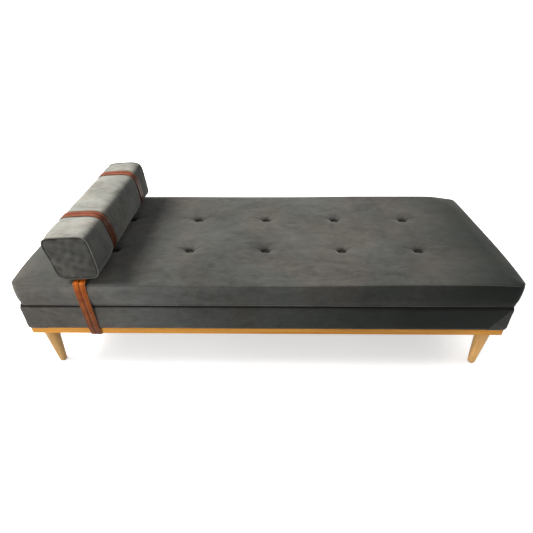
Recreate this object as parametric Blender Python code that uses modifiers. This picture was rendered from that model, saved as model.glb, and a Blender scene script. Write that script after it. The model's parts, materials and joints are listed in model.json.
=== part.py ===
"""Daybed: an upholstered platform on four turned oak legs, a tufted mattress and a bolster on a leather belt.

Metres, +Z up. The origin is on the floor under the middle of the bed. +X runs along the bed, away from the
end that the bolster stands at, and -Y is the front. The bolster and its belt slide along X as one.
"""

import math

import bmesh
import bpy
from mathutils import Matrix

# ---------------------------------------------------------------- driving dimensions
GAP = 0.0003            # air between pieces that touch
SLIDE_GAP = 0.0004      # air between the belt and everything that it slides over
CLOTH = 0.002           # wall of a sewn cover

LEG_HEIGHT = 0.200      # floor to the underside of the plinth
PLINTH_LENGTH, PLINTH_WIDTH, PLINTH_HEIGHT = 2.008, 0.746, 0.0300
PLINTH_BOARD = 0.018
DUST_CLOTH = 0.001
BASE_LENGTH, BASE_WIDTH, BASE_HEIGHT = 2.013, 0.758, 0.1358
MATTRESS_LENGTH, MATTRESS_WIDTH, MATTRESS_HEIGHT = 2.009, 0.774, 0.1153

# the stack, from the plinth up
BASE_BOTTOM = LEG_HEIGHT + PLINTH_HEIGHT + DUST_CLOTH + 2 * GAP
BASE_TOP = BASE_BOTTOM + BASE_HEIGHT
MATTRESS_BOTTOM = BASE_TOP + GAP
MATTRESS_TOP = MATTRESS_BOTTOM + MATTRESS_HEIGHT

# upholstery edges: plan corner radius and the rounding of the long edges
BASE_CORNER, BASE_EDGE = 0.016, 0.010
MATTRESS_CORNER, MATTRESS_EDGE = 0.032, 0.016

# legs
LEG_X, LEG_Y = 0.944, 0.337
LEG_TOP_RADIUS, LEG_FOOT_RADIUS = 0.031, 0.016
GLIDE_THICKNESS, GLIDE_RADIUS = 0.0037, 0.0135
BOLT_RADIUS, BOLT_HOLE_RADIUS = 0.0040, 0.0043
BOLT_IN_LEG, BOLT_IN_BLOCK = 0.034, 0.026
INSERT_RADIUS = 0.0062
BLOCK_SIDE, BLOCK_HEIGHT = 0.099, PLINTH_HEIGHT - 2 * GAP
CROSSBAR_X, CROSSBAR_WIDTH, CROSSBAR_HEIGHT = 0.330, 0.045, 0.024

# wooden box inside the upholstered base
RETURN = 0.046          # how far the base cover is turned under the box
FOAM_WALL, FOAM_TOP = 0.012, 0.038
BOX_BOARD = 0.020
DECK_THICKNESS = 0.009
CROSSPIECE_XS = (-0.5, 0.0, 0.5)
CROSSPIECE_WIDTH, CROSSPIECE_HEIGHT = 0.040, 0.060

# tufting: five columns and two rows of covered buttons, each pulled down by its cord
TUFT_PITCH_X, TUFT_COLUMNS = 0.333, 5
TUFT_ROW_Y = 0.138
DIMPLE_RADIUS, DIMPLE_FLOOR_RADIUS, DIMPLE_DEPTH = 0.038, 0.0145, 0.018
BUTTON_RADIUS, BUTTON_HEIGHT = 0.0125, 0.0065
CORD_RADIUS, CORD_HOLE_RADIUS = 0.0015, 0.0020
TOGGLE_RADIUS, TOGGLE_THICKNESS = 0.010, 0.003

# bolster: section half width and half height, power of its upper and lower corners, how far its sides lean
# back, and how far its top and bottom tilt
BOLSTER_X, BOLSTER_Y = -0.732, 0.0055
BOLSTER_LENGTH = 0.741
BOLSTER_HALF_WIDTH, BOLSTER_HALF_HEIGHT = 0.0885, 0.0905
UPPER_POWER, LOWER_POWER = 6.0, 3.8
BOLSTER_LEAN, BOLSTER_TILT = math.radians(7), math.radians(3.5)
BOLSTER_EDGE = 0.012

# leather
STRAP_WIDTH, STRAP_THICKNESS = 0.0475, 0.003
LOOP_YS = {"front": -0.1725, "back": 0.2515}
BELT_X = -0.7255
BELT_OVERLAP_START, BELT_OVERLAP_END = 0.038, -0.048
BELT_SCREW_YS = (-0.026, 0.016)
SCREW_HEAD_RADIUS, SCREW_HEAD_HEIGHT = 0.0050, 0.0012
SCREW_POST_RADIUS, SCREW_HOLE_RADIUS = 0.0024, 0.0027

# zip fasteners
ZIP_WIDTH, ZIP_THICKNESS = 0.006, 0.0012
MATTRESS_ZIP_LENGTH, MATTRESS_ZIP_Z = 1.300, MATTRESS_BOTTOM + 0.035
BOLSTER_ZIP_LENGTH, BOLSTER_ZIP_DROP = 0.520, 0.045

SIDES = {"left": -1, "right": 1}
FACES = {"front": -1, "back": 1}

# name: (colour, roughness, metallic)
FINISHES = {
    "velvet": ((0.105, 0.103, 0.096), 0.85, 0.0),
    "oak": ((0.620, 0.370, 0.150), 0.45, 0.0),
    "leather": ((0.300, 0.085, 0.028), 0.40, 0.0),
    "pine": ((0.640, 0.480, 0.290), 0.60, 0.0),
    "plywood": ((0.560, 0.420, 0.260), 0.60, 0.0),
    "foam": ((0.760, 0.730, 0.620), 0.95, 0.0),
    "steel": ((0.560, 0.560, 0.570), 0.30, 1.0),
    "felt": ((0.060, 0.050, 0.045), 0.95, 0.0),
    "dust_cloth": ((0.020, 0.020, 0.022), 0.90, 0.0),
    "zip": ((0.050, 0.050, 0.052), 0.50, 0.0),
}


# ---------------------------------------------------------------- scene helpers
def clear_scene():
    for obj in list(bpy.data.objects):
        bpy.data.objects.remove(obj)


def make_collection(name, hidden=False):
    collection = bpy.data.collections.new(name)
    bpy.context.scene.collection.children.link(collection)
    collection.hide_render = hidden
    return collection


def finish(name):
    """The named material, made the first time that it is asked for."""
    material = bpy.data.materials.get(name)
    if material is None:
        colour, roughness, metallic = FINISHES[name]
        material = bpy.data.materials.new(name)
        material.use_nodes = True
        shader = material.node_tree.nodes["Principled BSDF"]
        shader.inputs["Base Color"].default_value = (*colour, 1.0)
        shader.inputs["Roughness"].default_value = roughness
        shader.inputs["Metallic"].default_value = metallic
    return material


def place(name, mesh, material, location=(0, 0, 0)):
    """Puts a mesh in the daybed's collection, or in the cutters' if it has no material."""
    obj = bpy.data.objects.new(name, mesh)
    obj.location = location
    if material is None:
        obj.hide_render = True
        obj.display_type = "WIRE"
        cutters.objects.link(obj)
    else:
        mesh.materials.clear()
        mesh.materials.append(finish(material))
        daybed.objects.link(obj)
    return obj


def mesh_from(bm, name):
    mesh = bpy.data.meshes.new(name)
    bm.to_mesh(mesh)
    bm.free()
    return mesh


def cut(obj, *tools):
    """Subtracts each cutter from obj with an exact Boolean that stays on it."""
    for tool in tools:
        boolean = obj.modifiers.new("cut_" + tool.name, "BOOLEAN")
        boolean.operation = "DIFFERENCE"
        boolean.solver = "EXACT"
        boolean.object = tool
    return obj


# ---------------------------------------------------------------- shape helpers
def block(name, material, low, high, bevel=0.0):
    """A box between two opposite corners, with its edges bevelled."""
    bm = bmesh.new()
    bmesh.ops.create_cube(bm, size=1.0)
    size = [h - l for l, h in zip(low, high)]
    bmesh.ops.scale(bm, vec=size, verts=bm.verts)
    centre = [(l + h) / 2 for l, h in zip(low, high)]
    obj = place(name, mesh_from(bm, name), material, centre)
    if bevel:
        edges = obj.modifiers.new("edges", "BEVEL")
        edges.width = bevel
        edges.segments = 1
    return obj


def turned(name, material, profile, steps=20, location=(0, 0, 0)):
    """A solid of revolution about Z. The profile of (radius, z) points runs down its outer side."""
    bm = bmesh.new()
    verts = [bm.verts.new((radius, 0, z)) for radius, z in profile]
    for first, second in zip(verts, verts[1:]):
        bm.edges.new((first, second))
    obj = place(name, mesh_from(bm, name), material, location)
    screw = obj.modifiers.new("turn", "SCREW")
    screw.axis = "Z"
    screw.angle = math.tau
    screw.steps = screw.render_steps = steps
    screw.use_merge_vertices = True
    screw.merge_threshold = 0.00001
    screw.use_smooth_shade = True
    return obj


def outline_mesh(name, outline, depth, edge=0.0):
    """A closed mesh: a flat outline thickened by depth about its own plane, with its rims rounded by edge."""
    curve = bpy.data.curves.new(name, "CURVE")
    curve.dimensions = "2D"
    curve.fill_mode = "BOTH"
    curve.extrude = depth / 2 - edge
    curve.bevel_depth = edge
    curve.bevel_resolution = 2
    curve.offset = -edge
    spline = curve.splines.new("POLY")
    spline.points.add(len(outline) - 1)
    for point, (u, v) in zip(spline.points, outline):
        point.co = (u, v, 0, 1)
    spline.use_cyclic_u = True
    guide = bpy.data.objects.new(name + "_outline", curve)
    bpy.context.scene.collection.objects.link(guide)
    graph = bpy.context.evaluated_depsgraph_get()
    mesh = bpy.data.meshes.new_from_object(guide.evaluated_get(graph))
    bpy.data.objects.remove(guide)
    bm = bmesh.new()
    bm.from_mesh(mesh)
    bmesh.ops.remove_doubles(bm, verts=bm.verts, dist=0.00001)
    bmesh.ops.recalc_face_normals(bm, faces=bm.faces)
    bm.to_mesh(mesh)
    bm.free()
    return mesh


def rounded_rectangle(length, width, radius, steps=5):
    """Points round a rectangle centred on the origin, with arcs at its corners."""
    points = []
    for quarter, (sx, sy) in enumerate(((1, 1), (-1, 1), (-1, -1), (1, -1))):
        for step in range(steps + 1):
            angle = (quarter + step / steps) * math.pi / 2
            points.append((
                sx * (length / 2 - radius) + radius * math.cos(angle),
                sy * (width / 2 - radius) + radius * math.sin(angle),
            ))
    return points


def slab(name, material, length, width, bottom, top, corner, edge):
    """A padded block with rounded corners in plan and rounded long edges."""
    mesh = outline_mesh(name, rounded_rectangle(length, width, corner), top - bottom, edge)
    return place(name, mesh, material, (0, 0, (bottom + top) / 2))


def ribbon(name, material, path, width, closed, location=(0, 0, 0), along="Y"):
    """A strap: a path of (across, up) points widened along an axis and thickened outwards."""
    bm = bmesh.new()
    rows = []
    for across, up in path:
        pair = []
        for side in (-width / 2, width / 2):
            place_at = (across, side, up) if along == "Y" else (side, across, up)
            pair.append(bm.verts.new(place_at))
        rows.append(pair)
    if closed:
        rows.append(rows[0])
    for (a, b), (c, d) in zip(rows, rows[1:]):
        bm.faces.new((a, b, d, c))
    obj = place(name, mesh_from(bm, name), material, location)
    shell = obj.modifiers.new("leather", "SOLIDIFY")
    shell.thickness = STRAP_THICKNESS
    shell.offset = 1.0
    shell.use_even_offset = True
    return obj


def filleted(corners, steps=6):
    """Points along straight runs between (y, z, radius) corners, with an arc at each; the ends stay sharp."""
    points = [corners[0][:2]]
    for before, corner, after in zip(corners, corners[1:], corners[2:]):
        here = complex(*corner[:2])
        back = complex(*before[:2]) - here
        ahead = complex(*after[:2]) - here
        back, ahead = back / abs(back), ahead / abs(ahead)
        half = math.acos(max(-1.0, min(1.0, (back * ahead.conjugate()).real))) / 2
        reach = corner[2] / math.tan(half)
        bisector = (back + ahead) / abs(back + ahead)
        centre = here + bisector * corner[2] / math.sin(half)
        start, end = here + back * reach - centre, here + ahead * reach - centre
        turn = math.atan2((end * start.conjugate()).imag, (end * start.conjugate()).real)
        for step in range(steps + 1):
            angle = turn * step / steps
            point = centre + start * complex(math.cos(angle), math.sin(angle))
            points.append((point.real, point.imag))
    points.append(corners[-1][:2])
    return points


# ---------------------------------------------------------------- plinth and legs
def plinth_rail(name, length, centre, turn):
    """A board on edge, mitred at both ends towards the inside of the plinth, which is at +Y before it is turned."""
    bm = bmesh.new()
    bmesh.ops.create_cube(bm, size=1.0)
    bmesh.ops.scale(bm, vec=(length - 2 * GAP, PLINTH_BOARD, PLINTH_HEIGHT), verts=bm.verts)
    for vert in bm.verts:
        if vert.co.y > 0:
            vert.co.x -= math.copysign(PLINTH_BOARD, vert.co.x)
    bmesh.ops.rotate(bm, verts=bm.verts, matrix=Matrix.Rotation(turn, 3, "Z"))
    rail = place(name, mesh_from(bm, name), "oak", (*centre, LEG_HEIGHT + PLINTH_HEIGHT / 2))
    edges = rail.modifiers.new("edges", "BEVEL")
    edges.width = 0.0012
    edges.segments = 2
    return rail


def make_plinth():
    for face, sy in FACES.items():
        centre = (0, sy * (PLINTH_WIDTH - PLINTH_BOARD) / 2)
        plinth_rail("plinth_rail_" + face, PLINTH_LENGTH, centre, 0 if sy < 0 else math.pi)
    for side, sx in SIDES.items():
        centre = (sx * (PLINTH_LENGTH - PLINTH_BOARD) / 2, 0)
        plinth_rail("plinth_rail_" + side, PLINTH_WIDTH, centre, sx * math.pi / 2)
    inside = PLINTH_WIDTH / 2 - PLINTH_BOARD - GAP
    top = LEG_HEIGHT + PLINTH_HEIGHT - GAP
    for side, sx in SIDES.items():
        middle = sx * CROSSBAR_X
        low = (middle - CROSSBAR_WIDTH / 2, -inside, top - CROSSBAR_HEIGHT)
        high = (middle + CROSSBAR_WIDTH / 2, inside, top)
        block("plinth_crossbar_" + side, "pine", low, high, bevel=0.001)


def make_corner(corner, sx, sy):
    """Block, threaded insert, hanger bolt, leg and felt glide at one corner of the bed."""
    inner_x = PLINTH_LENGTH / 2 - PLINTH_BOARD - GAP
    inner_y = PLINTH_WIDTH / 2 - PLINTH_BOARD - GAP
    xs = sorted((sx * inner_x, sx * (inner_x - BLOCK_SIDE)))
    ys = sorted((sy * inner_y, sy * (inner_y - BLOCK_SIDE)))
    underside = LEG_HEIGHT + GAP
    top = underside + BLOCK_HEIGHT
    at = (sx * LEG_X, sy * LEG_Y, 0)

    bore = [(0, top + 0.01), (INSERT_RADIUS + GAP, top + 0.01), (INSERT_RADIUS + GAP, underside - 0.01),
            (0, underside - 0.01)]
    cutter = turned("bore_" + corner, None, bore, 16, at)
    corner_block = block("corner_block_" + corner, "pine", (xs[0], ys[0], underside), (xs[1], ys[1], top))
    cut(corner_block, cutter)

    insert_top, insert_foot = top - 0.002, underside + 0.001
    insert = [(BOLT_HOLE_RADIUS, insert_foot), (BOLT_HOLE_RADIUS, insert_top), (INSERT_RADIUS, insert_top),
              (INSERT_RADIUS, insert_foot), (BOLT_HOLE_RADIUS, insert_foot)]
    turned("leg_insert_" + corner, "steel", insert, 16, at)

    bolt_top, bolt_foot = LEG_HEIGHT + BOLT_IN_BLOCK, LEG_HEIGHT - BOLT_IN_LEG
    bolt = [(0, bolt_top), (BOLT_RADIUS - 0.001, bolt_top), (BOLT_RADIUS, bolt_top - 0.001),
            (BOLT_RADIUS, bolt_foot + 0.006), (0.001, bolt_foot), (0, bolt_foot)]
    turned("leg_bolt_" + corner, "steel", bolt, 12, at)

    leg_top, foot = LEG_HEIGHT - GAP, GLIDE_THICKNESS + GAP
    leg = [(0, bolt_foot - 0.002), (BOLT_HOLE_RADIUS, bolt_foot - 0.002), (BOLT_HOLE_RADIUS, leg_top),
           (LEG_TOP_RADIUS - 0.001, leg_top), (LEG_TOP_RADIUS, leg_top - 0.001),
           (LEG_FOOT_RADIUS + 0.0004, foot + 0.003), (LEG_FOOT_RADIUS - 0.002, foot), (0, foot)]
    turned("leg_" + corner, "oak", leg, 24, at)

    glide = [(0, GLIDE_THICKNESS), (GLIDE_RADIUS, GLIDE_THICKNESS), (GLIDE_RADIUS, 0.0005),
             (GLIDE_RADIUS - 0.0005, 0), (0, 0)]
    turned("leg_glide_" + corner, "felt", glide, 20, at)


# ---------------------------------------------------------------- upholstered base
def make_base():
    cover = slab("base_cover", "velvet", BASE_LENGTH, BASE_WIDTH, BASE_BOTTOM, BASE_TOP, BASE_CORNER, BASE_EDGE)
    hollow = slab("base_hollow", None, BASE_LENGTH - 2 * CLOTH, BASE_WIDTH - 2 * CLOTH,
                  BASE_BOTTOM + CLOTH, BASE_TOP - CLOTH, BASE_CORNER - CLOTH, BASE_EDGE - CLOTH)
    mouth_x, mouth_y = BASE_LENGTH / 2 - RETURN, BASE_WIDTH / 2 - RETURN
    mouth = block("base_mouth", None, (-mouth_x, -mouth_y, BASE_BOTTOM - 0.01), (mouth_x, mouth_y, BASE_BOTTOM + 0.01))
    cut(cover, hollow, mouth)

    skin = CLOTH + GAP
    foam = slab("base_foam", "foam", BASE_LENGTH - 2 * skin, BASE_WIDTH - 2 * skin,
                BASE_BOTTOM + skin, BASE_TOP - skin, BASE_CORNER - skin, BASE_EDGE - skin)
    room_x, room_y = BASE_LENGTH / 2 - skin - FOAM_WALL, BASE_WIDTH / 2 - skin - FOAM_WALL
    deck_top = BASE_TOP - skin - FOAM_TOP
    room = block("base_room", None, (-room_x, -room_y, BASE_BOTTOM - 0.01), (room_x, room_y, deck_top))
    cut(foam, room)

    half_x, half_y = room_x - GAP, room_y - GAP
    deck_low = deck_top - GAP - DECK_THICKNESS
    block("base_deck", "plywood", (-half_x, -half_y, deck_low), (half_x, half_y, deck_top - GAP))
    foot, head = BASE_BOTTOM + skin, deck_low - GAP
    for face, sy in FACES.items():
        ys = sorted((sy * half_y, sy * (half_y - BOX_BOARD)))
        block("base_board_" + face, "pine", (-half_x, ys[0], foot), (half_x, ys[1], head), bevel=0.001)
    between = half_y - BOX_BOARD - GAP
    for side, sx in SIDES.items():
        xs = sorted((sx * half_x, sx * (half_x - BOX_BOARD)))
        block("base_board_" + side, "pine", (xs[0], -between, foot), (xs[1], between, head), bevel=0.001)
    for number, x in enumerate(CROSSPIECE_XS, 1):
        low = (x - CROSSPIECE_WIDTH / 2, -between, head - CROSSPIECE_HEIGHT)
        block(f"base_crosspiece_{number}", "pine", low, (x + CROSSPIECE_WIDTH / 2, between, head), bevel=0.001)

    dust_x, dust_y = mouth_x + 0.020, mouth_y + 0.020
    dust_top = BASE_BOTTOM - GAP
    block("dust_cover", "dust_cloth", (-dust_x, -dust_y, dust_top - DUST_CLOTH), (dust_x, dust_y, dust_top))


# ---------------------------------------------------------------- mattress
def tuft_places():
    middle = (TUFT_COLUMNS - 1) / 2
    for sy in FACES.values():
        for column in range(TUFT_COLUMNS):
            yield (column - middle) * TUFT_PITCH_X, sy * TUFT_ROW_Y


def turned_cutter(name, profile, steps=16):
    """One cutter that holds a copy of a turned shape at every tuft."""
    bm = bmesh.new()
    for x, y in tuft_places():
        rings = []
        for radius, z in profile:
            angles = [math.tau * step / steps for step in range(steps)]
            rings.append([bm.verts.new((x + radius * math.cos(a), y + radius * math.sin(a), z)) for a in angles])
        bm.faces.new(rings[0])
        bm.faces.new(reversed(rings[-1]))
        for upper, lower in zip(rings, rings[1:]):
            for step in range(steps):
                after = (step + 1) % steps
                bm.faces.new((upper[step], lower[step], lower[after], upper[after]))
    bmesh.ops.recalc_face_normals(bm, faces=bm.faces)
    return place(name, mesh_from(bm, name), None)


def dimple_profile(grow):
    """A tuft's hollow, grown by a wall, from just above the mattress down to the hollow's floor."""
    slope = (DIMPLE_RADIUS - DIMPLE_FLOOR_RADIUS) / DIMPLE_DEPTH
    over = 0.004
    return [(DIMPLE_RADIUS + grow + slope * over, MATTRESS_TOP + over),
            (DIMPLE_FLOOR_RADIUS + grow, MATTRESS_TOP - DIMPLE_DEPTH - grow)]


def make_mattress():
    skin = CLOTH + GAP
    cover = slab("mattress_cover", "velvet", MATTRESS_LENGTH, MATTRESS_WIDTH, MATTRESS_BOTTOM, MATTRESS_TOP,
                 MATTRESS_CORNER, MATTRESS_EDGE)
    hollow = slab("mattress_hollow", None, MATTRESS_LENGTH - 2 * CLOTH, MATTRESS_WIDTH - 2 * CLOTH,
                  MATTRESS_BOTTOM + CLOTH, MATTRESS_TOP - CLOTH, MATTRESS_CORNER - CLOTH, MATTRESS_EDGE - CLOTH)
    cut(hollow, turned_cutter("dimples_inside", dimple_profile(CLOTH)))
    floor = MATTRESS_TOP - DIMPLE_DEPTH
    eyelet = [(CORD_HOLE_RADIUS, floor + 0.003), (CORD_HOLE_RADIUS, floor - CLOTH - 0.003)]
    slot_y = MATTRESS_WIDTH / 2
    slot = block("mattress_slot", None, (-MATTRESS_ZIP_LENGTH / 2, slot_y - 0.004, MATTRESS_ZIP_Z - ZIP_WIDTH / 2),
                 (MATTRESS_ZIP_LENGTH / 2, slot_y + 0.004, MATTRESS_ZIP_Z + ZIP_WIDTH / 2))
    dimples = turned_cutter("dimples_outside", dimple_profile(0.0))
    cut(cover, hollow, dimples, turned_cutter("eyelets", eyelet, 8), slot)

    foam = slab("mattress_foam", "foam", MATTRESS_LENGTH - 2 * skin, MATTRESS_WIDTH - 2 * skin,
                MATTRESS_BOTTOM + skin, MATTRESS_TOP - skin, MATTRESS_CORNER - skin, MATTRESS_EDGE - skin)
    toggle_top = MATTRESS_BOTTOM + skin + 0.0006 + TOGGLE_THICKNESS
    well = [(CORD_HOLE_RADIUS, floor + 0.002), (CORD_HOLE_RADIUS, toggle_top + 0.001),
            (TOGGLE_RADIUS + 0.0015, toggle_top + 0.001), (TOGGLE_RADIUS + 0.0015, MATTRESS_BOTTOM - 0.002)]
    cut(foam, turned_cutter("dimples_in_foam", dimple_profile(skin)), turned_cutter("cord_wells", well, 12))

    seat = floor + GAP
    crown = seat + BUTTON_HEIGHT
    button = [(0, crown), (BUTTON_RADIUS * 0.62, crown - 0.0009), (BUTTON_RADIUS * 0.93, crown - 0.0030),
              (BUTTON_RADIUS, seat + 0.0016), (BUTTON_RADIUS * 0.90, seat), (CORD_RADIUS, seat),
              (CORD_RADIUS, toggle_top), (TOGGLE_RADIUS, toggle_top), (TOGGLE_RADIUS, toggle_top - TOGGLE_THICKNESS),
              (0, toggle_top - TOGGLE_THICKNESS)]
    for number, (x, y) in enumerate(tuft_places(), 1):
        turned(f"mattress_button_{number:02d}", "velvet", button, 14, (x, y, 0))

    middle = slot_y - CLOTH / 2
    block("mattress_zip", "zip",
          (-MATTRESS_ZIP_LENGTH / 2 + GAP, middle - ZIP_THICKNESS / 2, MATTRESS_ZIP_Z - ZIP_WIDTH / 2 + GAP),
          (MATTRESS_ZIP_LENGTH / 2 - GAP, middle + ZIP_THICKNESS / 2, MATTRESS_ZIP_Z + ZIP_WIDTH / 2 - GAP))


# ---------------------------------------------------------------- bolster and its leather
def leaned(across, up):
    """A point of the bolster's upright section, moved to where the leaning sides and the tilted top carry it."""
    return (across * math.cos(BOLSTER_TILT) - up * math.sin(BOLSTER_LEAN),
            across * math.sin(BOLSTER_TILT) + up * math.cos(BOLSTER_LEAN))


def bolster_section(grow=0.0, count=48):
    """(x, z) points round the bolster: a superellipse whose lower corners are softer than its upper ones."""
    points = []
    for step in range(count):
        angle = math.tau * (step + 0.5) / count
        power = UPPER_POWER if math.sin(angle) >= 0 else LOWER_POWER
        reach = (abs(math.cos(angle)) ** power + abs(math.sin(angle)) ** power) ** (-1 / power)
        points.append(leaned((BOLSTER_HALF_WIDTH + grow) * reach * math.cos(angle),
                             (BOLSTER_HALF_HEIGHT + grow) * reach * math.sin(angle)))
    return points


def bolster_height():
    """Height of the bolster's middle when the loops under it just clear the belt."""
    lowest = min(z for _, z in bolster_section(GAP + STRAP_THICKNESS))
    belt_top = MATTRESS_TOP + SLIDE_GAP + STRAP_THICKNESS
    return belt_top + 2 * GAP - lowest


def bolster_solid(name, material, shrink):
    """The bolster's form, smaller by shrink all round."""
    mesh = outline_mesh(name, bolster_section(-shrink), BOLSTER_LENGTH - 2 * shrink, BOLSTER_EDGE - shrink)
    mesh.transform(Matrix.Rotation(math.pi / 2, 4, "X"))
    return place(name, mesh, material, (BOLSTER_X, BOLSTER_Y, bolster_height()))


def zip_block(name, material, length, width, inner, outer):
    """A strip along the bolster's left side, between two depths under its surface."""
    side = BOLSTER_HALF_WIDTH * (1 - (BOLSTER_ZIP_DROP / BOLSTER_HALF_HEIGHT) ** LOWER_POWER) ** (1 / LOWER_POWER)
    obj = block(name, material, (inner, -length / 2, -width / 2), (outer, length / 2, width / 2))
    obj.data.transform(Matrix.Translation(obj.location))
    x, z = leaned(-side, -BOLSTER_ZIP_DROP)
    obj.location = (BOLSTER_X + x, BOLSTER_Y, bolster_height() + z)
    obj.rotation_euler = (0, -BOLSTER_LEAN, 0)
    return obj


def make_bolster():
    cover = bolster_solid("bolster_cover", "velvet", 0.0)
    hollow = bolster_solid("bolster_hollow", None, CLOTH)
    slot = zip_block("bolster_slot", None, BOLSTER_ZIP_LENGTH, ZIP_WIDTH, -0.004, 0.004)
    cut(cover, hollow, slot)
    bolster_solid("bolster_foam", "foam", CLOTH + GAP)
    zip_block("bolster_zip", "zip", BOLSTER_ZIP_LENGTH - 2 * GAP, ZIP_WIDTH - 2 * GAP, 0.0004, 0.0004 + ZIP_THICKNESS)

    for face, y in LOOP_YS.items():
        at = (BOLSTER_X, y, bolster_height())
        ribbon("bolster_loop_" + face, "leather", bolster_section(GAP), STRAP_WIDTH, True, at)


def belt_path():
    """The belt's inner face, from its upper end under the bed, forwards, up, over and back to its lower end."""
    over, under = MATTRESS_TOP + SLIDE_GAP, LEG_HEIGHT - SLIDE_GAP
    belly = MATTRESS_WIDTH / 2 + SLIDE_GAP
    waist = BASE_WIDTH / 2 + SLIDE_GAP
    heel = PLINTH_WIDTH / 2 + SLIDE_GAP
    front = [(-heel, under, 0.0025), (-waist, BASE_BOTTOM + 0.006, 0.05), (-belly, MATTRESS_BOTTOM + MATTRESS_EDGE, 0.05),
             (-belly, over, MATTRESS_EDGE + SLIDE_GAP)]
    back = [(-y, z, radius) for y, z, radius in reversed(front)]
    lower = under - STRAP_THICKNESS - GAP
    tail = [(BELT_OVERLAP_START + 0.050, under, 0.02), (BELT_OVERLAP_START + 0.022, lower, 0.02),
            (BELT_OVERLAP_END, lower)]
    return filleted([(BELT_OVERLAP_START, under)] + front + back + tail)


def make_belt():
    belt = ribbon("belt_strap", "leather", belt_path(), STRAP_WIDTH, False, (BELT_X, 0, 0), along="X")
    under = LEG_HEIGHT - SLIDE_GAP
    foot = under - 2 * STRAP_THICKNESS - GAP
    hole = [(0, under + 0.01), (SCREW_HOLE_RADIUS, under + 0.01), (SCREW_HOLE_RADIUS, foot - 0.01), (0, foot - 0.01)]
    top, bottom = under + GAP, foot - GAP
    screw = [(0, top + SCREW_HEAD_HEIGHT), (SCREW_HEAD_RADIUS - 0.0006, top + SCREW_HEAD_HEIGHT),
             (SCREW_HEAD_RADIUS, top), (SCREW_POST_RADIUS, top), (SCREW_POST_RADIUS, bottom),
             (SCREW_HEAD_RADIUS, bottom), (SCREW_HEAD_RADIUS - 0.0006, bottom - SCREW_HEAD_HEIGHT),
             (0, bottom - SCREW_HEAD_HEIGHT)]
    for number, y in enumerate(BELT_SCREW_YS, 1):
        cut(belt, turned(f"belt_hole_{number}", None, hole, 12, (BELT_X, y, 0)))
        turned(f"belt_screw_{number}", "steel", screw, 16, (BELT_X, y, 0))


# ---------------------------------------------------------------- build
clear_scene()
daybed = make_collection("daybed")
cutters = make_collection("cutters", hidden=True)
make_plinth()
for face, sy in FACES.items():
    for side, sx in SIDES.items():
        make_corner(f"{face}_{side}", sx, sy)
make_base()
make_mattress()
make_bolster()
make_belt()
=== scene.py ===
"""The daybed's looks: velvet pads, tufts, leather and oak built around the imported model. Metres, +Z up."""

import json
import math

import bmesh
import bpy
import numpy as np
from mathutils import Matrix, Vector
from mathutils.bvhtree import BVHTree


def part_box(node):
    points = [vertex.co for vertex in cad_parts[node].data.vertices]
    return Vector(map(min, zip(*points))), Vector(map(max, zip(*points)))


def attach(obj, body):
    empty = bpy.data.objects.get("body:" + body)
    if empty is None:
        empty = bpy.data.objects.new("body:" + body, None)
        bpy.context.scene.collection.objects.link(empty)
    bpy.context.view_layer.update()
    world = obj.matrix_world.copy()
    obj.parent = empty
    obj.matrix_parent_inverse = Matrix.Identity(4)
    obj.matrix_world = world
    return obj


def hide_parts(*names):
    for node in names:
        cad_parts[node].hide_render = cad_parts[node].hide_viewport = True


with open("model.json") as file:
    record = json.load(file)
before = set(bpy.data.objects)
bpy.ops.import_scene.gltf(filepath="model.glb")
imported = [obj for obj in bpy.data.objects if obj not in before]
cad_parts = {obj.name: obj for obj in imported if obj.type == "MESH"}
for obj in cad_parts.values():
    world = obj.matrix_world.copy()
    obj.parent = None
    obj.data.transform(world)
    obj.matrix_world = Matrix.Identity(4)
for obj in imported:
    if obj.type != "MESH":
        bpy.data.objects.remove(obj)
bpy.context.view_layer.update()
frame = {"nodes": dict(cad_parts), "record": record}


# ---------------------------------------------------------------- places read from the frame
def middle_of(node):
    low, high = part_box(node)
    return (low + high) / 2


MATTRESS_LOW, MATTRESS_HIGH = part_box("mattress_cover")
BASE_LOW, BASE_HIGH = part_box("base_cover")
BOLSTER_LOW, BOLSTER_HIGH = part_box("bolster_cover")
PLINTH_LOW, PLINTH_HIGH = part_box("plinth_rail_front")
DUST_LOW, DUST_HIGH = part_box("dust_cover")
BUTTONS = [f"mattress_button_{number:02d}" for number in range(1, 11)]
BUTTON_PLACES = [tuple(middle_of(button)) for button in BUTTONS]
LOOP_PLACES = [middle_of(f"bolster_loop_{face}").y - middle_of("bolster_cover").y
               for face in ("front", "back")]

# ---------------------------------------------------------------- sizes of the soft forms
SEAM_DROP = 0.0085          # the mattress's top seam below the highest point of its crown
SEAM_SET_IN = 0.0045        # seams sit this far inside the boxing's belly
SEAM_HALF_X, SEAM_HALF_Y = MATTRESS_HIGH.x - SEAM_SET_IN, MATTRESS_HIGH.y - SEAM_SET_IN
SEAM_TOP, SEAM_BOTTOM = MATTRESS_HIGH.z - SEAM_DROP, MATTRESS_LOW.z + 0.005
CROWN_ROLL, CROWN_RISE = 0.020, 0.150   # where the crown's quick roll and its slow rise end, in from the seam
MATTRESS_CORNER = 0.029
MATTRESS_GRID = 0.021, 0.0065           # coarse and fine spacing of its skin
FRONT_SAG, CORNER_SAG = 0.0085, 0.0060  # how far the top seam hangs at the front and at the corners
BOTTOM_TUCK, BOTTOM_ROLL, RIM_DROOP = 0.0045, 0.0040, 0.0075
FOOT_BOW, HEAD_BOW, BACK_BOW = 0.0155, 0.009, 0.003
TUFT_DEPTH, FUNNEL_REACH, DISH_REACH = 0.0235, 0.030, 0.058
BUTTON_RADIUS = 0.0100
TUFT_FOLDS = 7              # creases round each button

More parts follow.
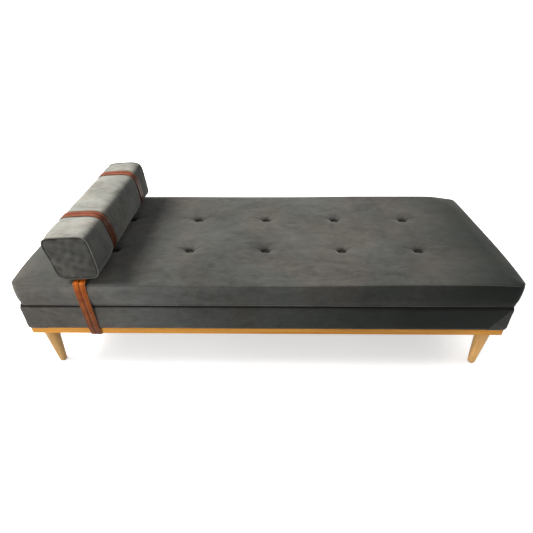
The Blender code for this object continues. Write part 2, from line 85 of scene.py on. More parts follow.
BASE_HALF_X, BASE_HALF_Y = BASE_HIGH.x + 0.0065, BASE_HIGH.y - 0.0015
BASE_HEIGHT = BASE_HIGH.z - BASE_LOW.z
BASE_CORNER, BASE_ROLL = 0.012, 0.012
ROLL_SHARE = 0.75           # how much of its radius the base's top edge drops
FOLD_WIDTH, FOLD_RAISE = 0.085, 0.0026  # the envelope fold at each of its corners

BOLSTER_LEAN, BOLSTER_TILT = math.radians(7), math.radians(3.5)
BOLSTER_YAW, BOLSTER_TWIST = math.radians(0.8), math.radians(1.2)
BOLSTER_SHIFT = 0.004
BOLSTER_POWERS = 6.0, 3.8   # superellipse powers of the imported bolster's upper and lower corners
BOLSTER_HALF_WIDTH, BOLSTER_HALF_HEIGHT = 0.0885, 0.0905
BOLSTER_RIM = (BOLSTER_HIGH.y - BOLSTER_LOW.y) / 2 - 0.007
BOLSTER_BOW = 0.0024        # how far its sides bow out between the loops and the end seams
LOOP_SQUEEZE = 0.0012       # how far a loop presses into the bolster's flat sides
BACK_FULL, FRONT_KICK, LEFT_FILL, FRONT_BULGE = 0.009, -0.016, 0.0085, 0.0065

CLEAR = 0.0006              # air between a strap and what it lies on
STRAP_WIDTH, STRAP_THICKNESS, STRAP_EDGE = 0.0475, 0.0032, 0.0011
BAND_CROWN, GROOVE_DEPTH = 0.0006, 0.0009
EDGE_GROOVE = 0.0042        # each edge groove's distance from the strap's edge
STITCH_ROW = STRAP_WIDTH / 2 - EDGE_GROOVE
THREAD_HEIGHT = STRAP_THICKNESS - 0.0006
BELT_UPPER_END, BELT_LOWER_END = 0.038, -0.048
BELT_DIP = 0.088, 0.060     # where the belt's last run leaves the first layer, and where it lies under it


# ---------------------------------------------------------------- mesh helpers
def mesh_object(name, points, faces, material, smooth=True):
    mesh = bpy.data.meshes.new(name)
    mesh.from_pydata([tuple(p) for p in points], [], faces)
    mesh.update()
    if smooth:
        mesh.shade_smooth()
    mesh.materials.append(material)
    obj = bpy.data.objects.new(name, mesh)
    bpy.context.scene.collection.objects.link(obj)
    return obj


def make_outward(obj):
    """Turns a closed skin's faces outward."""
    work = bmesh.new()
    work.from_mesh(obj.data)
    bmesh.ops.recalc_face_normals(work, faces=work.faces)
    if work.calc_volume(signed=True) < 0:
        bmesh.ops.reverse_faces(work, faces=work.faces)
    work.to_mesh(obj.data)
    work.free()
    return obj


def read_rows(items, key):
    rows = np.zeros(len(items) * 3)
    items.foreach_get(key, rows)
    return rows.reshape(-1, 3)


def read_points(obj):
    return read_rows(obj.data.vertices, "co")


def read_normals(obj):
    return read_rows(obj.data.vertex_normals, "vector")


def read_skin(obj):
    """A soft form's points, their places in the cage that it was made from, and its normals."""
    return read_points(obj), read_rows(obj.data.attributes["cage"].data, "vector"), read_normals(obj)


def write_points(obj, points):
    obj.data.vertices.foreach_set("co", np.asarray(points, float).ravel())
    obj.data.update()


def keep_value(obj, name, values):
    """Stores numbers on the vertices, as a float or a vector attribute."""
    values = np.asarray(values, np.float32)
    kind, key = ("FLOAT_VECTOR", "vector") if values.ndim == 2 else ("FLOAT", "value")
    obj.data.attributes.new(name, kind, "POINT").data.foreach_set(key, values.ravel())


def unit_rows(rows, least=1e-9):
    return rows / np.maximum(np.linalg.norm(rows, axis=1, keepdims=True), least)


def travelled(path):
    """The distance along a path to each of its points."""
    return np.concatenate([[0], np.cumsum(np.linalg.norm(np.diff(path, axis=0), axis=1))])


def between(at, places, rows):
    """Rows of numbers, interpolated at one or more places."""
    return np.stack([np.interp(at, places, rows[:, axis]) for axis in range(rows.shape[1])], axis=-1)


def spaced(low, high, coarse, fine, near=(), reach=0.045):
    """Positions from low to high, close together near the given places and near both ends."""
    steps = np.linspace(low, high, 4001)
    spacing = np.full_like(steps, coarse)
    for place, radius in [(low, 0.03), (high, 0.03)] + [(place, reach) for place in near]:
        closeness = np.exp(-((steps - place) / radius) ** 4)
        spacing = np.minimum(spacing, coarse + (fine - coarse) * closeness)
    passed = np.concatenate([[0], np.cumsum(np.diff(steps) / spacing[1:])])
    return np.interp(np.linspace(0, passed[-1], int(math.ceil(passed[-1])) + 1), passed, steps)


def lattice_box(*lines):
    """The skin of a box of grid lines along X, Y and Z, as points and outward quads."""
    index, points, faces = {}, [], []
    last = [len(places) - 1 for places in lines]
    for axis in range(3):
        first, second = (axis + 1) % 3, (axis + 2) % 3
        for side in (0, last[axis]):
            for a in range(last[first]):
                for b in range(last[second]):
                    ring = []
                    for da, db in ((0, 0), (1, 0), (1, 1), (0, 1)):
                        key = [0, 0, 0]
                        key[axis], key[first], key[second] = side, a + da, b + db
                        if tuple(key) not in index:
                            index[tuple(key)] = len(points)
                            points.append([places[at] for places, at in zip(lines, key)])
                        ring.append(index[tuple(key)])
                    faces.append(tuple(ring if side else reversed(ring)))
    return np.array(points), faces


def ring_faces(count, around, closed=False, base=0):
    """Quads between rings of points, with end caps unless the rings run round in a loop."""
    faces = []
    for ring in range(count if closed else count - 1):
        here, after = base + ring * around, base + (ring + 1) % count * around
        for step in range(around):
            side = (step + 1) % around
            faces.append((here + step, after + step, after + side, here + side))
    if not closed:
        faces.append(tuple(range(base, base + around)))
        faces.append(tuple(reversed(range(base + (count - 1) * around, base + count * around))))
    return faces


def swept(name, rings, material, closed=False):
    """A solid from an array of rings of points."""
    count, around = rings.shape[:2]
    return make_outward(mesh_object(name, rings.reshape(-1, 3), ring_faces(count, around, closed), material))


def tube(name, path, radius, material, sides=8, closed=True):
    """A round cord along a list of points."""
    path = np.asarray(path, float)
    ahead = np.roll(path, -1, 0) - np.roll(path, 1, 0)
    if not closed:
        ahead[0], ahead[-1] = path[1] - path[0], path[-1] - path[-2]
    ahead = unit_rows(ahead)
    upright = (0.0, 0.0, 1.0) if abs(ahead[:, 2]).max() < 0.9 else (1.0, 0.0, 0.0)
    aside = np.cross(ahead, upright)
    if np.linalg.norm(aside, axis=1).min() < 1e-3:
        aside = np.cross(ahead, (0.0, 1.0, 0.0))
    aside = unit_rows(aside)
    up = np.cross(aside, ahead)
    turns = math.tau * np.arange(sides) / sides
    rings = [path + radius * (math.cos(turn) * aside + math.sin(turn) * up) for turn in turns]
    return swept(name, np.stack(rings, axis=1), material, closed)


def turned(name, profile, material, place, steps=32):
    """A solid of revolution about Z, from (radius, z) points that run down its outer side."""
    points, faces, rings = [], [], []
    for radius, z in profile:
        count = steps if radius > 1e-6 else 1
        rings.append([len(points) + step % count for step in range(steps)])
        for angle in math.tau * np.arange(count) / steps:
            reach = np.array([radius * math.cos(angle), radius * math.sin(angle), z])
            points.append(np.array(place) + reach)
    for upper, lower in zip(rings, rings[1:]):
        for step in range(steps):
            after = (step + 1) % steps
            faces.append(tuple(dict.fromkeys((upper[step], lower[step], lower[after], upper[after]))))
    return mesh_object(name, points, faces, material)


# ---------------------------------------------------------------- shaping helpers
def round_plan(points, half_x, half_y, radius):
    """Moves the corners of a rectangular plan onto arcs, without moving its straight sides."""
    moved = points.copy()
    straight = np.array([half_x, half_y]) - radius
    share = np.clip(np.abs(points[:, :2]) - straight, 0, None) / radius
    both = (share > 0).all(axis=1)
    arc = share[both] * np.sqrt(1 - share[both, ::-1] ** 2 / 2)
    moved[both, :2] = np.sign(points[both, :2]) * (straight + radius * arc)
    return moved


def swell(points, cage, amount, half_x, half_y, radius):
    """Pushes rim points outward in plan by an amount each."""
    straight = np.array([half_x, half_y]) - radius
    away = points[:, :2] - np.clip(cage[:, :2], -straight, straight)
    points[:, :2] += unit_rows(away) * amount[:, None]


def inward_of(cage, half_x, half_y):
    """Each point's distance in plan from the nearest side."""
    return np.minimum(half_x - np.abs(cage[:, 0]), half_y - np.abs(cage[:, 1]))


def smooth_step(low, high, value):
    t = np.clip((value - low) / (high - low), 0, 1)
    return t * t * (3 - 2 * t)


def bump_line(distance, width):
    """1 on a line, falling to 0 about a width away from it."""
    return np.exp(-(distance / width) ** 2)


def quarter(distance, radius):
    """The rise of a quarter circle, from 0 at its edge to 1 a radius in from it."""
    return np.sqrt(np.clip(1 - (1 - np.clip(distance / radius, 0, 1)) ** 2, 0, 1))


def superellipse(angle, power):
    return (np.abs(np.cos(angle)) ** power + np.abs(np.sin(angle)) ** power) ** (-1 / power)


def waves(points, seed, sizes):
    """Smooth seeded ripples: a sum of sines along random directions, from -1 to 1 or so."""
    rng = np.random.default_rng(seed)
    total = np.zeros(len(points))
    for size in sizes:
        for _ in range(5):
            direction = rng.normal(size=3)
            direction /= np.linalg.norm(direction)
            total += np.sin(points @ direction * math.tau / size + rng.uniform(0, math.tau)) / 5
    return total / len(sizes)


# ---------------------------------------------------------------- material helpers
class Nodes:
    """A Principled material that is built node by node."""

    def __init__(self, name):
        self.material = bpy.data.materials.new(name)
        self.material.use_nodes = True
        self.tree = self.material.node_tree
        self.shader = self.tree.nodes["Principled BSDF"]

    def link(self, value, socket):
        if isinstance(value, bpy.types.NodeSocket):
            self.tree.links.new(value, socket)
        else:
            socket.default_value = value

    def add(self, kind, settings=None, **inputs):
        """A new node. An input called _0 or _1 is found by its number."""
        node = self.tree.nodes.new("ShaderNode" + kind)
        for key, value in (settings or {}).items():
            setattr(node, key, value)
        for key, value in inputs.items():
            self.link(value, node.inputs[int(key[1:]) if key[0] == "_" else key.replace("_", " ")])
        return node

    def set(self, **values):
        for key, value in values.items():
            self.link(value, self.shader.inputs[key.replace("_", " ")])

    def coordinates(self, scale=(1, 1, 1), rotation=(0, 0, 0), shift=(0, 0, 0)):
        source = self.add("TexCoord").outputs["Object"]
        return self.add("Mapping", Vector=source, Scale=scale, Rotation=rotation, Location=shift).outputs[0]

    def noise(self, vector, scale, detail=3.0, roughness=0.5, distortion=0.0):
        return self.add("TexNoise", Vector=vector, Scale=scale, Detail=detail, Roughness=roughness,
                        Distortion=distortion).outputs["Fac"]

    def ramp(self, value, *stops):
        node = self.add("ValToRGB", Fac=value)
        elements = node.color_ramp.elements
        while len(elements) < len(stops):
            elements.new(0.5)
        for element, (position, colour) in zip(elements, stops):
            element.position = position
            element.color = (*colour, 1.0)
        return node.outputs["Color"]

    def mix(self, factor, first, second, blend="MIX"):
        node = self.add("Mix", {"data_type": "RGBA", "blend_type": blend}, _0=factor)
        for colour, socket in ((first, node.inputs[6]), (second, node.inputs[7])):
            self.link((*colour, 1.0) if isinstance(colour, tuple) else colour, socket)
        return node.outputs[2]

    def math(self, operation, first, second):
        return self.add("Math", {"operation": operation}, _0=first, _1=second).outputs[0]

    def blend(self, *layers):
        """The sum of (value, share) layers."""
        total = 0.0
        for value, share in layers:
            total = self.math("ADD", total, self.math("MULTIPLY", value, share))
        return total

    def range(self, value, low, high):
        return self.add("MapRange", Value=value, To_Min=low, To_Max=high).outputs[0]

    def attribute(self, name):
        return self.add("Attribute", {"attribute_name": name}).outputs["Fac"]

    def bump(self, height, strength, distance, normal=None):
        node = self.add("Bump", Height=height, Strength=strength, Distance=distance)
        if normal:
            self.link(normal, node.inputs["Normal"])
        return node.outputs[0]


def grey(value):
    return (value, value, value)


def scaled(colour, factor):
    return tuple(value * factor for value in colour)


def velvet(name, warm, cool, patch=2.6):
    """Short grey pile: warm and cool patches where the pile lies differently, and fine streaks along the bed.
    The mesh's painted-light attribute makes it lighter with painted light; its crease and shade attributes
    make it darker with painted shade."""
    n = Nodes(name)
    flat = n.coordinates()
    patches = n.noise(flat, patch, 4.0, 0.55, 0.6)
    brushed_and_painted_shade = n.noise(n.coordinates(scale=(1.2, 9, 9), rotation=(0, 0, 0.06)), 7.0, 4.0, 0.62, 0.3)
    fine = n.noise(n.coordinates(scale=(5.0, 26, 26), rotation=(0, 0, 0.03)), 5.0, 3.0, 0.6, 0.8)
    cloudy = n.noise(n.coordinates(scale=(1, 1.6, 1.6)), 13.0, 4.0, 0.6, 0.9)
    mottle = n.noise(flat, 34.0, 4.0, 0.62, 0.3)
    pile = n.noise(flat, 900.0, 2.0, 0.7)
    nap_and_painted_light = n.blend((patches, 0.38), (brushed_and_painted_shade, 0.10), (cloudy, 0.26), (mottle, 0.14), (fine, 0.12))
    tone = n.ramp(nap_and_painted_light, (0.38, grey(0.58)), (0.63, grey(1.42)))
    hue = n.ramp(n.noise(flat, patch * 1.4, 3.0, 0.5, 0.3), (0.40, warm), (0.56, cool))
    colour = n.mix(1.0, hue, tone, "MULTIPLY")
    colour = n.mix(n.range(pile, 0.0, 0.30), colour, grey(0.010))
    # Painted shade: the shade attribute darkens the colour towards a cool near-black.
    colour = n.mix(n.attribute("shade"), colour, (0.0, 0.0030, 0.0020))
    # Painted light: a lighter copy of the colour, mixed in where the painted-light attribute says.
    painted_light_colour = n.mix(1.0, colour, grey(1.7), "MULTIPLY")
    colour = n.mix(n.attribute("nap_and_painted_light"), colour, painted_light_colour)
    # Painted shade: the crease attribute darkens seams, folds and hollows.
    colour = n.mix(n.attribute("crease"), colour, scaled(warm, 0.09))
    n.set(Base_Color=colour, Roughness=n.range(brushed_and_painted_shade, 0.78, 0.95), Metallic=0.0)
    n.set(Specular_IOR_Level=0.16, Sheen_Weight=0.34, Sheen_Roughness=0.40,
          Sheen_Tint=(0.60, 0.59, 0.55, 1.0))
    soft = n.bump(mottle, 0.30, 0.0016)
    n.set(Normal=n.bump(pile, 0.30, 0.0006, soft))
    return n.material


def oak(name, dark, light, axis, seed=0.0):
    """Lacquered oak with its grain along one axis: long streaks, pores and slow colour changes."""
    n = Nodes(name)
    stretch = [14.0, 14.0, 14.0]
    stretch[axis] = 0.7
    moved = n.coordinates(scale=stretch, shift=(seed, seed * 0.7, seed * 0.3))
    streaks = n.noise(moved, 2.4, 5.0, 0.62, 0.5)
    pores = n.noise(moved, 30.0, 3.0, 0.6)
    figure = n.blend((streaks, 0.7), (n.noise(moved, 0.6, 2.0, 0.5), 0.3))
    middle = [(a + b) / 2 for a, b in zip(dark, light)]
    colour = n.ramp(figure, (0.34, dark), (0.52, middle), (0.68, light))
    pore = n.ramp(pores, (0.30, grey(1.0)), (0.42, grey(0.0)))
    colour = n.mix(n.math("MULTIPLY", pore, 0.45), colour, scaled(dark, 0.45))
    n.set(Base_Color=colour, Roughness=n.range(streaks, 0.42, 0.60), Specular_IOR_Level=0.25)
    n.set(Normal=n.bump(n.math("SUBTRACT", streaks, pore), 0.18, 0.0006))
    return n.material


def leather(name, dark, light, edge):
    """Cognac saddle leather with a fine grain and burnished edges: painted shade darkens it in its grooves
    and where the mesh's crease attribute says so, and a painted highlight lightens it where its highlight
    attribute does."""
    n = Nodes(name)
    flat = n.coordinates()
    colour = n.ramp(n.noise(flat, 14.0, 4.0, 0.6, 0.4), (0.32, dark), (0.68, light))
    rim = n.ramp(n.attribute("across"), (0.84, grey(0.0)), (0.95, grey(1.0)))
    colour = n.mix(n.math("MULTIPLY", rim, 0.8), colour, edge)
    # Painted highlight: a lighter colour where the highlight attribute says.
    colour = n.mix(n.attribute("painted_highlight"), colour, scaled(light, 1.7))
    # Painted shade: darker where the crease attribute says.
    colour = n.mix(n.attribute("crease"), colour, scaled(dark, 0.22))
    cells = n.add("TexVoronoi", {"feature": "DISTANCE_TO_EDGE"}, Vector=flat, Scale=700.0).outputs["Distance"]
    scuff = n.noise(flat, 90.0, 4.0, 0.7)
    n.set(Base_Color=colour, Roughness=n.range(scuff, 0.34, 0.50), Specular_IOR_Level=0.09)
    n.set(Specular_Tint=(1.0, 0.72, 0.50, 1.0), Coat_Weight=0.06, Coat_Roughness=0.12)
    grain = n.bump(n.math("MINIMUM", cells, 0.12), 0.35, 0.0007)
    n.set(Normal=n.bump(scuff, 0.12, 0.0008, grain))
    return n.material


def plain(name, dark, light, roughness, scale, bump, metallic=0.0):
    """A simple two-tone surface with a fine texture, for the small pieces and those under the bed."""
    n = Nodes(name)
    tone = n.noise(n.coordinates(), scale, 4.0, 0.6, 0.3)
    n.set(Base_Color=n.ramp(tone, (0.35, dark), (0.68, light)), Metallic=metallic)
    n.set(Roughness=n.range(tone, roughness - 0.08, roughness + 0.08))
    n.set(Normal=n.bump(tone, 0.3, bump))
    return n.material


def woven(name, dark, light, threads):
    """Plain cloth with crossing threads."""
    n = Nodes(name)
    flat = n.coordinates()
    warp, weft = (n.add("TexWave", {"bands_direction": way}, Vector=flat, Scale=threads, Distortion=0.6)
                  for way in "XY")
    cloth = n.math("MULTIPLY", warp.outputs["Fac"], weft.outputs["Fac"])
    tone = n.blend((cloth, 0.5), (n.noise(flat, 6.0, 4.0, 0.6), 0.5))
    n.set(Base_Color=n.ramp(tone, (0.3, dark), (0.8, light)), Roughness=0.9, Sheen_Weight=0.2)
    n.set(Normal=n.bump(cloth, 0.4, 0.0006))
    return n.material


def painted_shade_along_bed(obj):
    """Painted shade for the velvet: darker towards the foot end as the light falls off, most of all on the
    boxing and the base.
    """
    x, upward = read_points(obj)[:, 0], smooth_step(0.25, 0.85, read_normals(obj)[:, 2])
    along = [-1.0, -0.57, 0.0, 0.52, 0.83, 0.97]
    top = np.interp(x, along, [0.26, 0.26, 0.13, 0.17, 0.58, 0.86])
    boxing = np.interp(x, along, [0.0, 0.0, 0.17, 0.49, 0.85, 0.95])
    return boxing + (top - boxing) * upward


# ---------------------------------------------------------------- cloth simulation
def inflate(obj, held, pressure, cap, stiffness=18.0, bending=1.2, frames=20):
    """Blows the closed skin up as cloth, the held vertices still, and limits how far a point may move."""
    group = obj.vertex_groups.new(name="held")
    group.add([int(index) for index in np.flatnonzero(held)], 1.0, "REPLACE")
    modifier = obj.modifiers.new("cloth", "CLOTH")
    settings = modifier.settings
    settings.quality = 6
    settings.mass = 0.3
    settings.tension_stiffness = settings.compression_stiffness = stiffness
    settings.shear_stiffness = stiffness * 0.6
    settings.bending_stiffness = bending
    settings.use_pressure = True
    settings.uniform_pressure_force = pressure
    settings.vertex_group_mass = "held"
    settings.effector_weights.gravity = 0.0
    modifier.point_cache.frame_start = 1
    modifier.point_cache.frame_end = frames
    scene = bpy.context.scene
    for number in range(1, frames + 1):
        scene.frame_set(number)
    before = read_points(obj)
    blown = obj.evaluated_get(bpy.context.evaluated_depsgraph_get()).data
    move = read_rows(blown.vertices, "co") - before
    obj.modifiers.clear()
    obj.vertex_groups.clear()
    scene.frame_set(1)
    length = np.linalg.norm(move, axis=1, keepdims=True)
    write_points(obj, before + unit_rows(move) * cap * np.tanh(length / cap))


def soft_form(name, points, faces, cage, held, material, pressure, cap):
    """A closed skin, blown up wherever it isn't held, then made finer."""
    obj = mesh_object(name, points, faces, material)
    keep_value(obj, "cage", cage)
    inflate(obj, held, pressure, cap)
    modifier = obj.modifiers.new("finer", "SUBSURF")
    modifier.levels = modifier.render_levels = 1
    graph = bpy.context.evaluated_depsgraph_get()
    mesh = bpy.data.meshes.new_from_object(obj.evaluated_get(graph), preserve_all_data_layers=True,
                                           depsgraph=graph)
    obj.modifiers.clear()
    obj.data = mesh
    mesh.shade_smooth()
    return obj


# ---------------------------------------------------------------- mattress
def crown(inward):
    """Height above the top seam, a distance inward from it: a quick roll off the seam, then a slow rise."""
    rise = 1 - (1 - np.clip(inward / CROWN_RISE, 0, 1)) ** 2
    return SEAM_DROP * (0.50 * quarter(inward, CROWN_ROLL) + 0.50 * rise)


def seam_sag(points):
    """How far the top seam hangs: at the front most in its left half, where the belt pulls on it, and at the
    corners of each end."""
    x, y = points[:, 0], points[:, 1]
    along = smooth_step(-0.985, -0.86, x) * (1 - smooth_step(0.05, 0.70, x))
    front = FRONT_SAG * along * smooth_step(-SEAM_HALF_Y + 0.085, -SEAM_HALF_Y, y)
    from_end = np.clip(SEAM_HALF_X - np.abs(x), 0, None)
    from_side = np.clip(SEAM_HALF_Y - np.abs(y), 0, None)
    return front + CORNER_SAG * bump_line(from_end, 0.085) * bump_line(from_side, 0.085)


def back_lift(points):
    """The back edge is fuller than the front one, most of all towards its ends."""
    x = points[:, 0]
    along = 0.0045 + 0.0040 * smooth_step(0.1, 0.5, np.abs(x)) * np.where(x > 0, 1, 0.4)
    return along * smooth_step(0.20, SEAM_HALF_Y, points[:, 1]) * smooth_step(SEAM_HALF_X, 0.86, np.abs(x))


def stretch_ends(points):
    """The ends bow out a little, the foot end most of all near its front corner."""
    x, y = points[:, 0].copy(), points[:, 1].copy()
    points[:, 0] += FOOT_BOW * smooth_step(0.34, -0.20, y) * smooth_step(0.86, 1.0, x)
    points[:, 0] -= HEAD_BOW * bump_line(y + 0.20, 0.24) * smooth_step(-0.86, -1.0, x)
    points[:, 1] += BACK_BOW * smooth_step(0.30, SEAM_HALF_Y, y) * smooth_step(SEAM_HALF_X, 0.80, np.abs(x))


def tuft_hollow(points):
    """How far the top is drawn down around the buttons: a narrow funnel in a wide shallow dish."""
    drop = np.zeros(len(points))
    for x, y, _ in BUTTON_PLACES:
        reach = np.hypot((points[:, 0] - x) / 1.30, points[:, 1] - y)
        funnel = np.clip(1 - np.clip(reach - 0.008, 0, None) / FUNNEL_REACH, 0, 1) ** 2.2
        drop += TUFT_DEPTH * (0.84 * funnel + 0.16 * bump_line(reach, DISH_REACH))
    return drop


def tuft_creases(points):
    """Short folds that run out from each button; the long ones lie along the bed."""
    depth = np.zeros(len(points))
    rng = np.random.default_rng(21)
    for x, y, _ in BUTTON_PLACES:
        away_x, away_y = points[:, 0] - x, points[:, 1] - y
        reach = np.hypot(away_x, away_y)
        angle = np.arctan2(away_y, away_x)
        for fold in range(TUFT_FOLDS):
            heading = math.tau * (fold + 0.25) / TUFT_FOLDS + rng.uniform(-0.22, 0.22)
            along_bed = abs(math.cos(heading))
            length = 0.010 + 0.026 * along_bed ** 2 * rng.uniform(0.6, 1.3)
            turn = (angle - heading + math.pi) % math.tau - math.pi
            aside = np.sin(np.clip(turn, -1.5, 1.5)) * reach
            fade = np.exp(-np.clip(reach - 0.010, 0, None) / length) * smooth_step(0.006, 0.012, reach)
            crease = bump_line(aside, 0.0024 + reach * 0.09) * fade * (np.abs(turn) < 1.5)
            depth += (0.0014 + 0.0026 * along_bed) * crease
    return depth


def from_button(points):
    """Each point's distance in plan from the nearest button's middle."""
    return np.min([np.hypot(points[:, 0] - x, points[:, 1] - y) for x, y, _ in BUTTON_PLACES], axis=0)


def make_mattress(material):
    columns, rows = ({round(place[axis], 4) for place in BUTTON_PLACES} for axis in (0, 1))
    xs = spaced(-SEAM_HALF_X, SEAM_HALF_X, *MATTRESS_GRID, columns)
    ys = spaced(-SEAM_HALF_Y, SEAM_HALF_Y, *MATTRESS_GRID, rows)
    zs = np.array([0, 0.03, 0.08, 0.15, 0.25, 0.36, 0.48, 0.60, 0.72, 0.83, 0.92, 0.97, 1.0])
    cage, faces = lattice_box(xs, ys, zs)
    up, inward = cage[:, 2], inward_of(cage, SEAM_HALF_X, SEAM_HALF_Y)
    rim, top, bottom = inward < 1e-6, up > 0.999, up < 0.001
    plan = SEAM_HALF_X, SEAM_HALF_Y, MATTRESS_CORNER
    points = round_plan(cage, *plan)
    belly = SEAM_SET_IN * (1 - np.abs(2 * up - 1) ** 3) - BOTTOM_TUCK * bump_line(up, 0.07)
    swell(points, cage, belly * rim, *plan)
    risen = smooth_step(0.0, 1.0, up)
    points[:, 2] = SEAM_BOTTOM + up * (SEAM_TOP - SEAM_BOTTOM)
    points[:, 2] += np.where(top, crown(inward) - tuft_hollow(points), 0) - seam_sag(points) * risen
    points[:, 2] += back_lift(points) * np.where(top, 1 - crown(inward) / SEAM_DROP, risen)
    points[:, 2] -= BOTTOM_ROLL * quarter(inward, 0.012) * bottom
    points[:, 2] -= RIM_DROOP * smooth_step(0.16, 0.0, up) * smooth_step(0.014, 0.0, inward)
    stretch_ends(points)
    held = bottom | (rim & top) | (top & (from_button(points) < BUTTON_RADIUS * 0.95))
    obj = soft_form("mattress", points, faces, cage, held, material, pressure=2.2, cap=0.007)
    finish_mattress(obj)
    return obj


def finish_mattress(obj):
    """Seams, folds and small unevenness, after the simulation."""
    points, cage, normals = read_skin(obj)
    up, inward = cage[:, 2], inward_of(cage, SEAM_HALF_X, SEAM_HALF_Y)
    height = SEAM_TOP - SEAM_BOTTOM
    rim = inward < 0.0005
    on_top = smooth_step(0.97, 1.0, up) * ~rim
    from_top_seam = np.where(up > 0.5, np.where(rim, (1 - up) * height, inward), 1.0)
    from_bottom_seam = np.where(rim, up * height, 1.0)
    folds = tuft_creases(points) * on_top
    top_ripple = 0.0009 * waves(points * [1, 2.5, 1], 3, (0.45, 0.22)) * smooth_step(0.02, 0.1, inward)
    side_ripple = 0.0010 * waves(points * [1, 1, 2], 5, (0.35, 0.16)) * smooth_step(0.0, 0.02, from_top_seam)
    push = on_top * top_ripple + rim * side_ripple - folds - 0.0008 * bump_line(from_top_seam, 0.0030)
    points = points + normals * push[:, None]
    points[:, 2] = np.minimum(points[:, 2], MATTRESS_HIGH.z)
    points[:, 1] = np.clip(points[:, 1], MATTRESS_LOW.y - 0.0005, None)
    write_points(obj, points)
    # Painted shade: darker in the tuft folds, in the hollow round each button and along the top and bottom
    # seams.
    past_button = np.clip(from_button(points) - BUTTON_RADIUS, 0, None)
    dark = 0.45 * np.clip(folds / 0.0035, 0, 1) + 1.1 * on_top * bump_line(past_button, 0.009)
    dark += 0.35 * bump_line(from_top_seam, 0.0022) + 0.5 * bump_line(from_bottom_seam, 0.0020)
    keep_value(obj, "crease", np.clip(dark, 0, 1))
    # Painted shade along the bed, and painted light on the boxing, lighter towards the head end.
    keep_value(obj, "shade", painted_shade_along_bed(obj))
    keep_value(obj, "nap_and_painted_light", 0.70 * rim * smooth_step(0.45, -0.45, points[:, 0]))


# ---------------------------------------------------------------- upholstered base
def make_base(material):
    """The box's cover: tight over its foam, rolled at the top, folded like an envelope at its corners."""
    corners = (-BASE_HALF_X + 0.05, BASE_HALF_X - 0.05)
    xs = spaced(-BASE_HALF_X, BASE_HALF_X, 0.026, 0.007, corners, 0.06)
    ys = spaced(-BASE_HALF_Y, BASE_HALF_Y, 0.026, 0.010)
    cage, faces = lattice_box(xs, ys, np.linspace(0, 1, 17))
    up, inward = cage[:, 2], inward_of(cage, BASE_HALF_X, BASE_HALF_Y)
    rim, top, bottom = inward < 1e-6, up > 0.999, up < 0.001
    plan = BASE_HALF_X, BASE_HALF_Y, BASE_CORNER
    points = round_plan(cage, *plan)
    belly = 0.0022 * np.sin(np.pi * np.clip(up * 1.05, 0, 1)) - 0.0030 * bump_line(up * BASE_HEIGHT, 0.008)
    belly -= 0.0040 * smooth_step(0.90, 1.0, up)
    swell(points, cage, belly * rim, *plan)
    side_z = BASE_LOW.z + up * (BASE_HEIGHT - BASE_ROLL * ROLL_SHARE)
    top_z = BASE_HIGH.z - BASE_ROLL * ROLL_SHARE * (1 - quarter(inward, BASE_ROLL))
    points[:, 2] = np.where(top, top_z, side_z)
    held = bottom | (rim & (up < 0.04)) | (top & (inward > 0.05))
    obj = soft_form("base_upholstery", points, faces, cage, held, material, pressure=0.6, cap=0.0025)

    points, cage, normals = read_skin(obj)
    x = points[:, 0]
    height_up = (points[:, 2] - BASE_LOW.z) / BASE_HEIGHT
    end_face = smooth_step(BASE_HALF_Y - 0.004, BASE_HALF_Y - 0.001, np.abs(points[:, 1]))
    fold_line = FOLD_WIDTH * (1 - height_up) + 0.006
    slope = math.cos(math.atan(FOLD_WIDTH / BASE_HEIGHT))
    beyond = (BASE_HALF_X - np.abs(x) - fold_line) * slope
    under = smooth_step(0.004, -0.004, beyond) * end_face
    push = FOLD_RAISE * under - 0.0011 * bump_line(beyond + 0.0005, 0.0028) * end_face
    push += 0.0010 * waves(points * [1, 1, 1.6], 11, (0.40, 0.18)) * (height_up < 0.93)
    points = points + normals * push[:, None]
    points[:, 1] = np.clip(points[:, 1], BASE_LOW.y - 0.001, BASE_HIGH.y + 0.001)
    points[:, 2] = np.clip(points[:, 2], BASE_LOW.z, BASE_HIGH.z)
    write_points(obj, points)
    x = points[:, 0]
    # Painted shadow: a dark band along the top of the base under the mattress's edge, reaching lower towards
    # the foot end; painted shade along the envelope fold, mostly at the foot end.
    painted_shadow_start = 0.848 - 0.035 * smooth_step(0.2, 0.95, x)
    dark = bump_line(beyond, 0.0026) * end_face * np.where(x > 0, 0.80, 0.15)
    keep_value(obj, "crease", np.clip(dark + smooth_step(painted_shadow_start, painted_shadow_start + 0.042, height_up), 0, 1))
    # Lighter overall, with painted light over the fold's triangle towards the foot end.
    keep_value(obj, "nap_and_painted_light", 0.28 + 0.72 * under * smooth_step(-0.5, 0.9, x))
    # Painted shade along the bed, darker still towards the foot end, and eased over the fold's triangle.
    brushed_and_painted_shade = np.clip(1.06 * painted_shade_along_bed(obj) + 0.30 * smooth_step(-0.6, 0.1, x), 0, 0.90)
    keep_value(obj, "shade", brushed_and_painted_shade * (1 - 0.30 * under * smooth_step(0.0, 0.9, x)))
    return obj


# ---------------------------------------------------------------- bolster
def near_loop(along, width):
    return sum(bump_line(along - place, width) for place in LOOP_PLACES)


def from_loop(along):
    return np.min([np.abs(along - place) for place in LOOP_PLACES], axis=0)


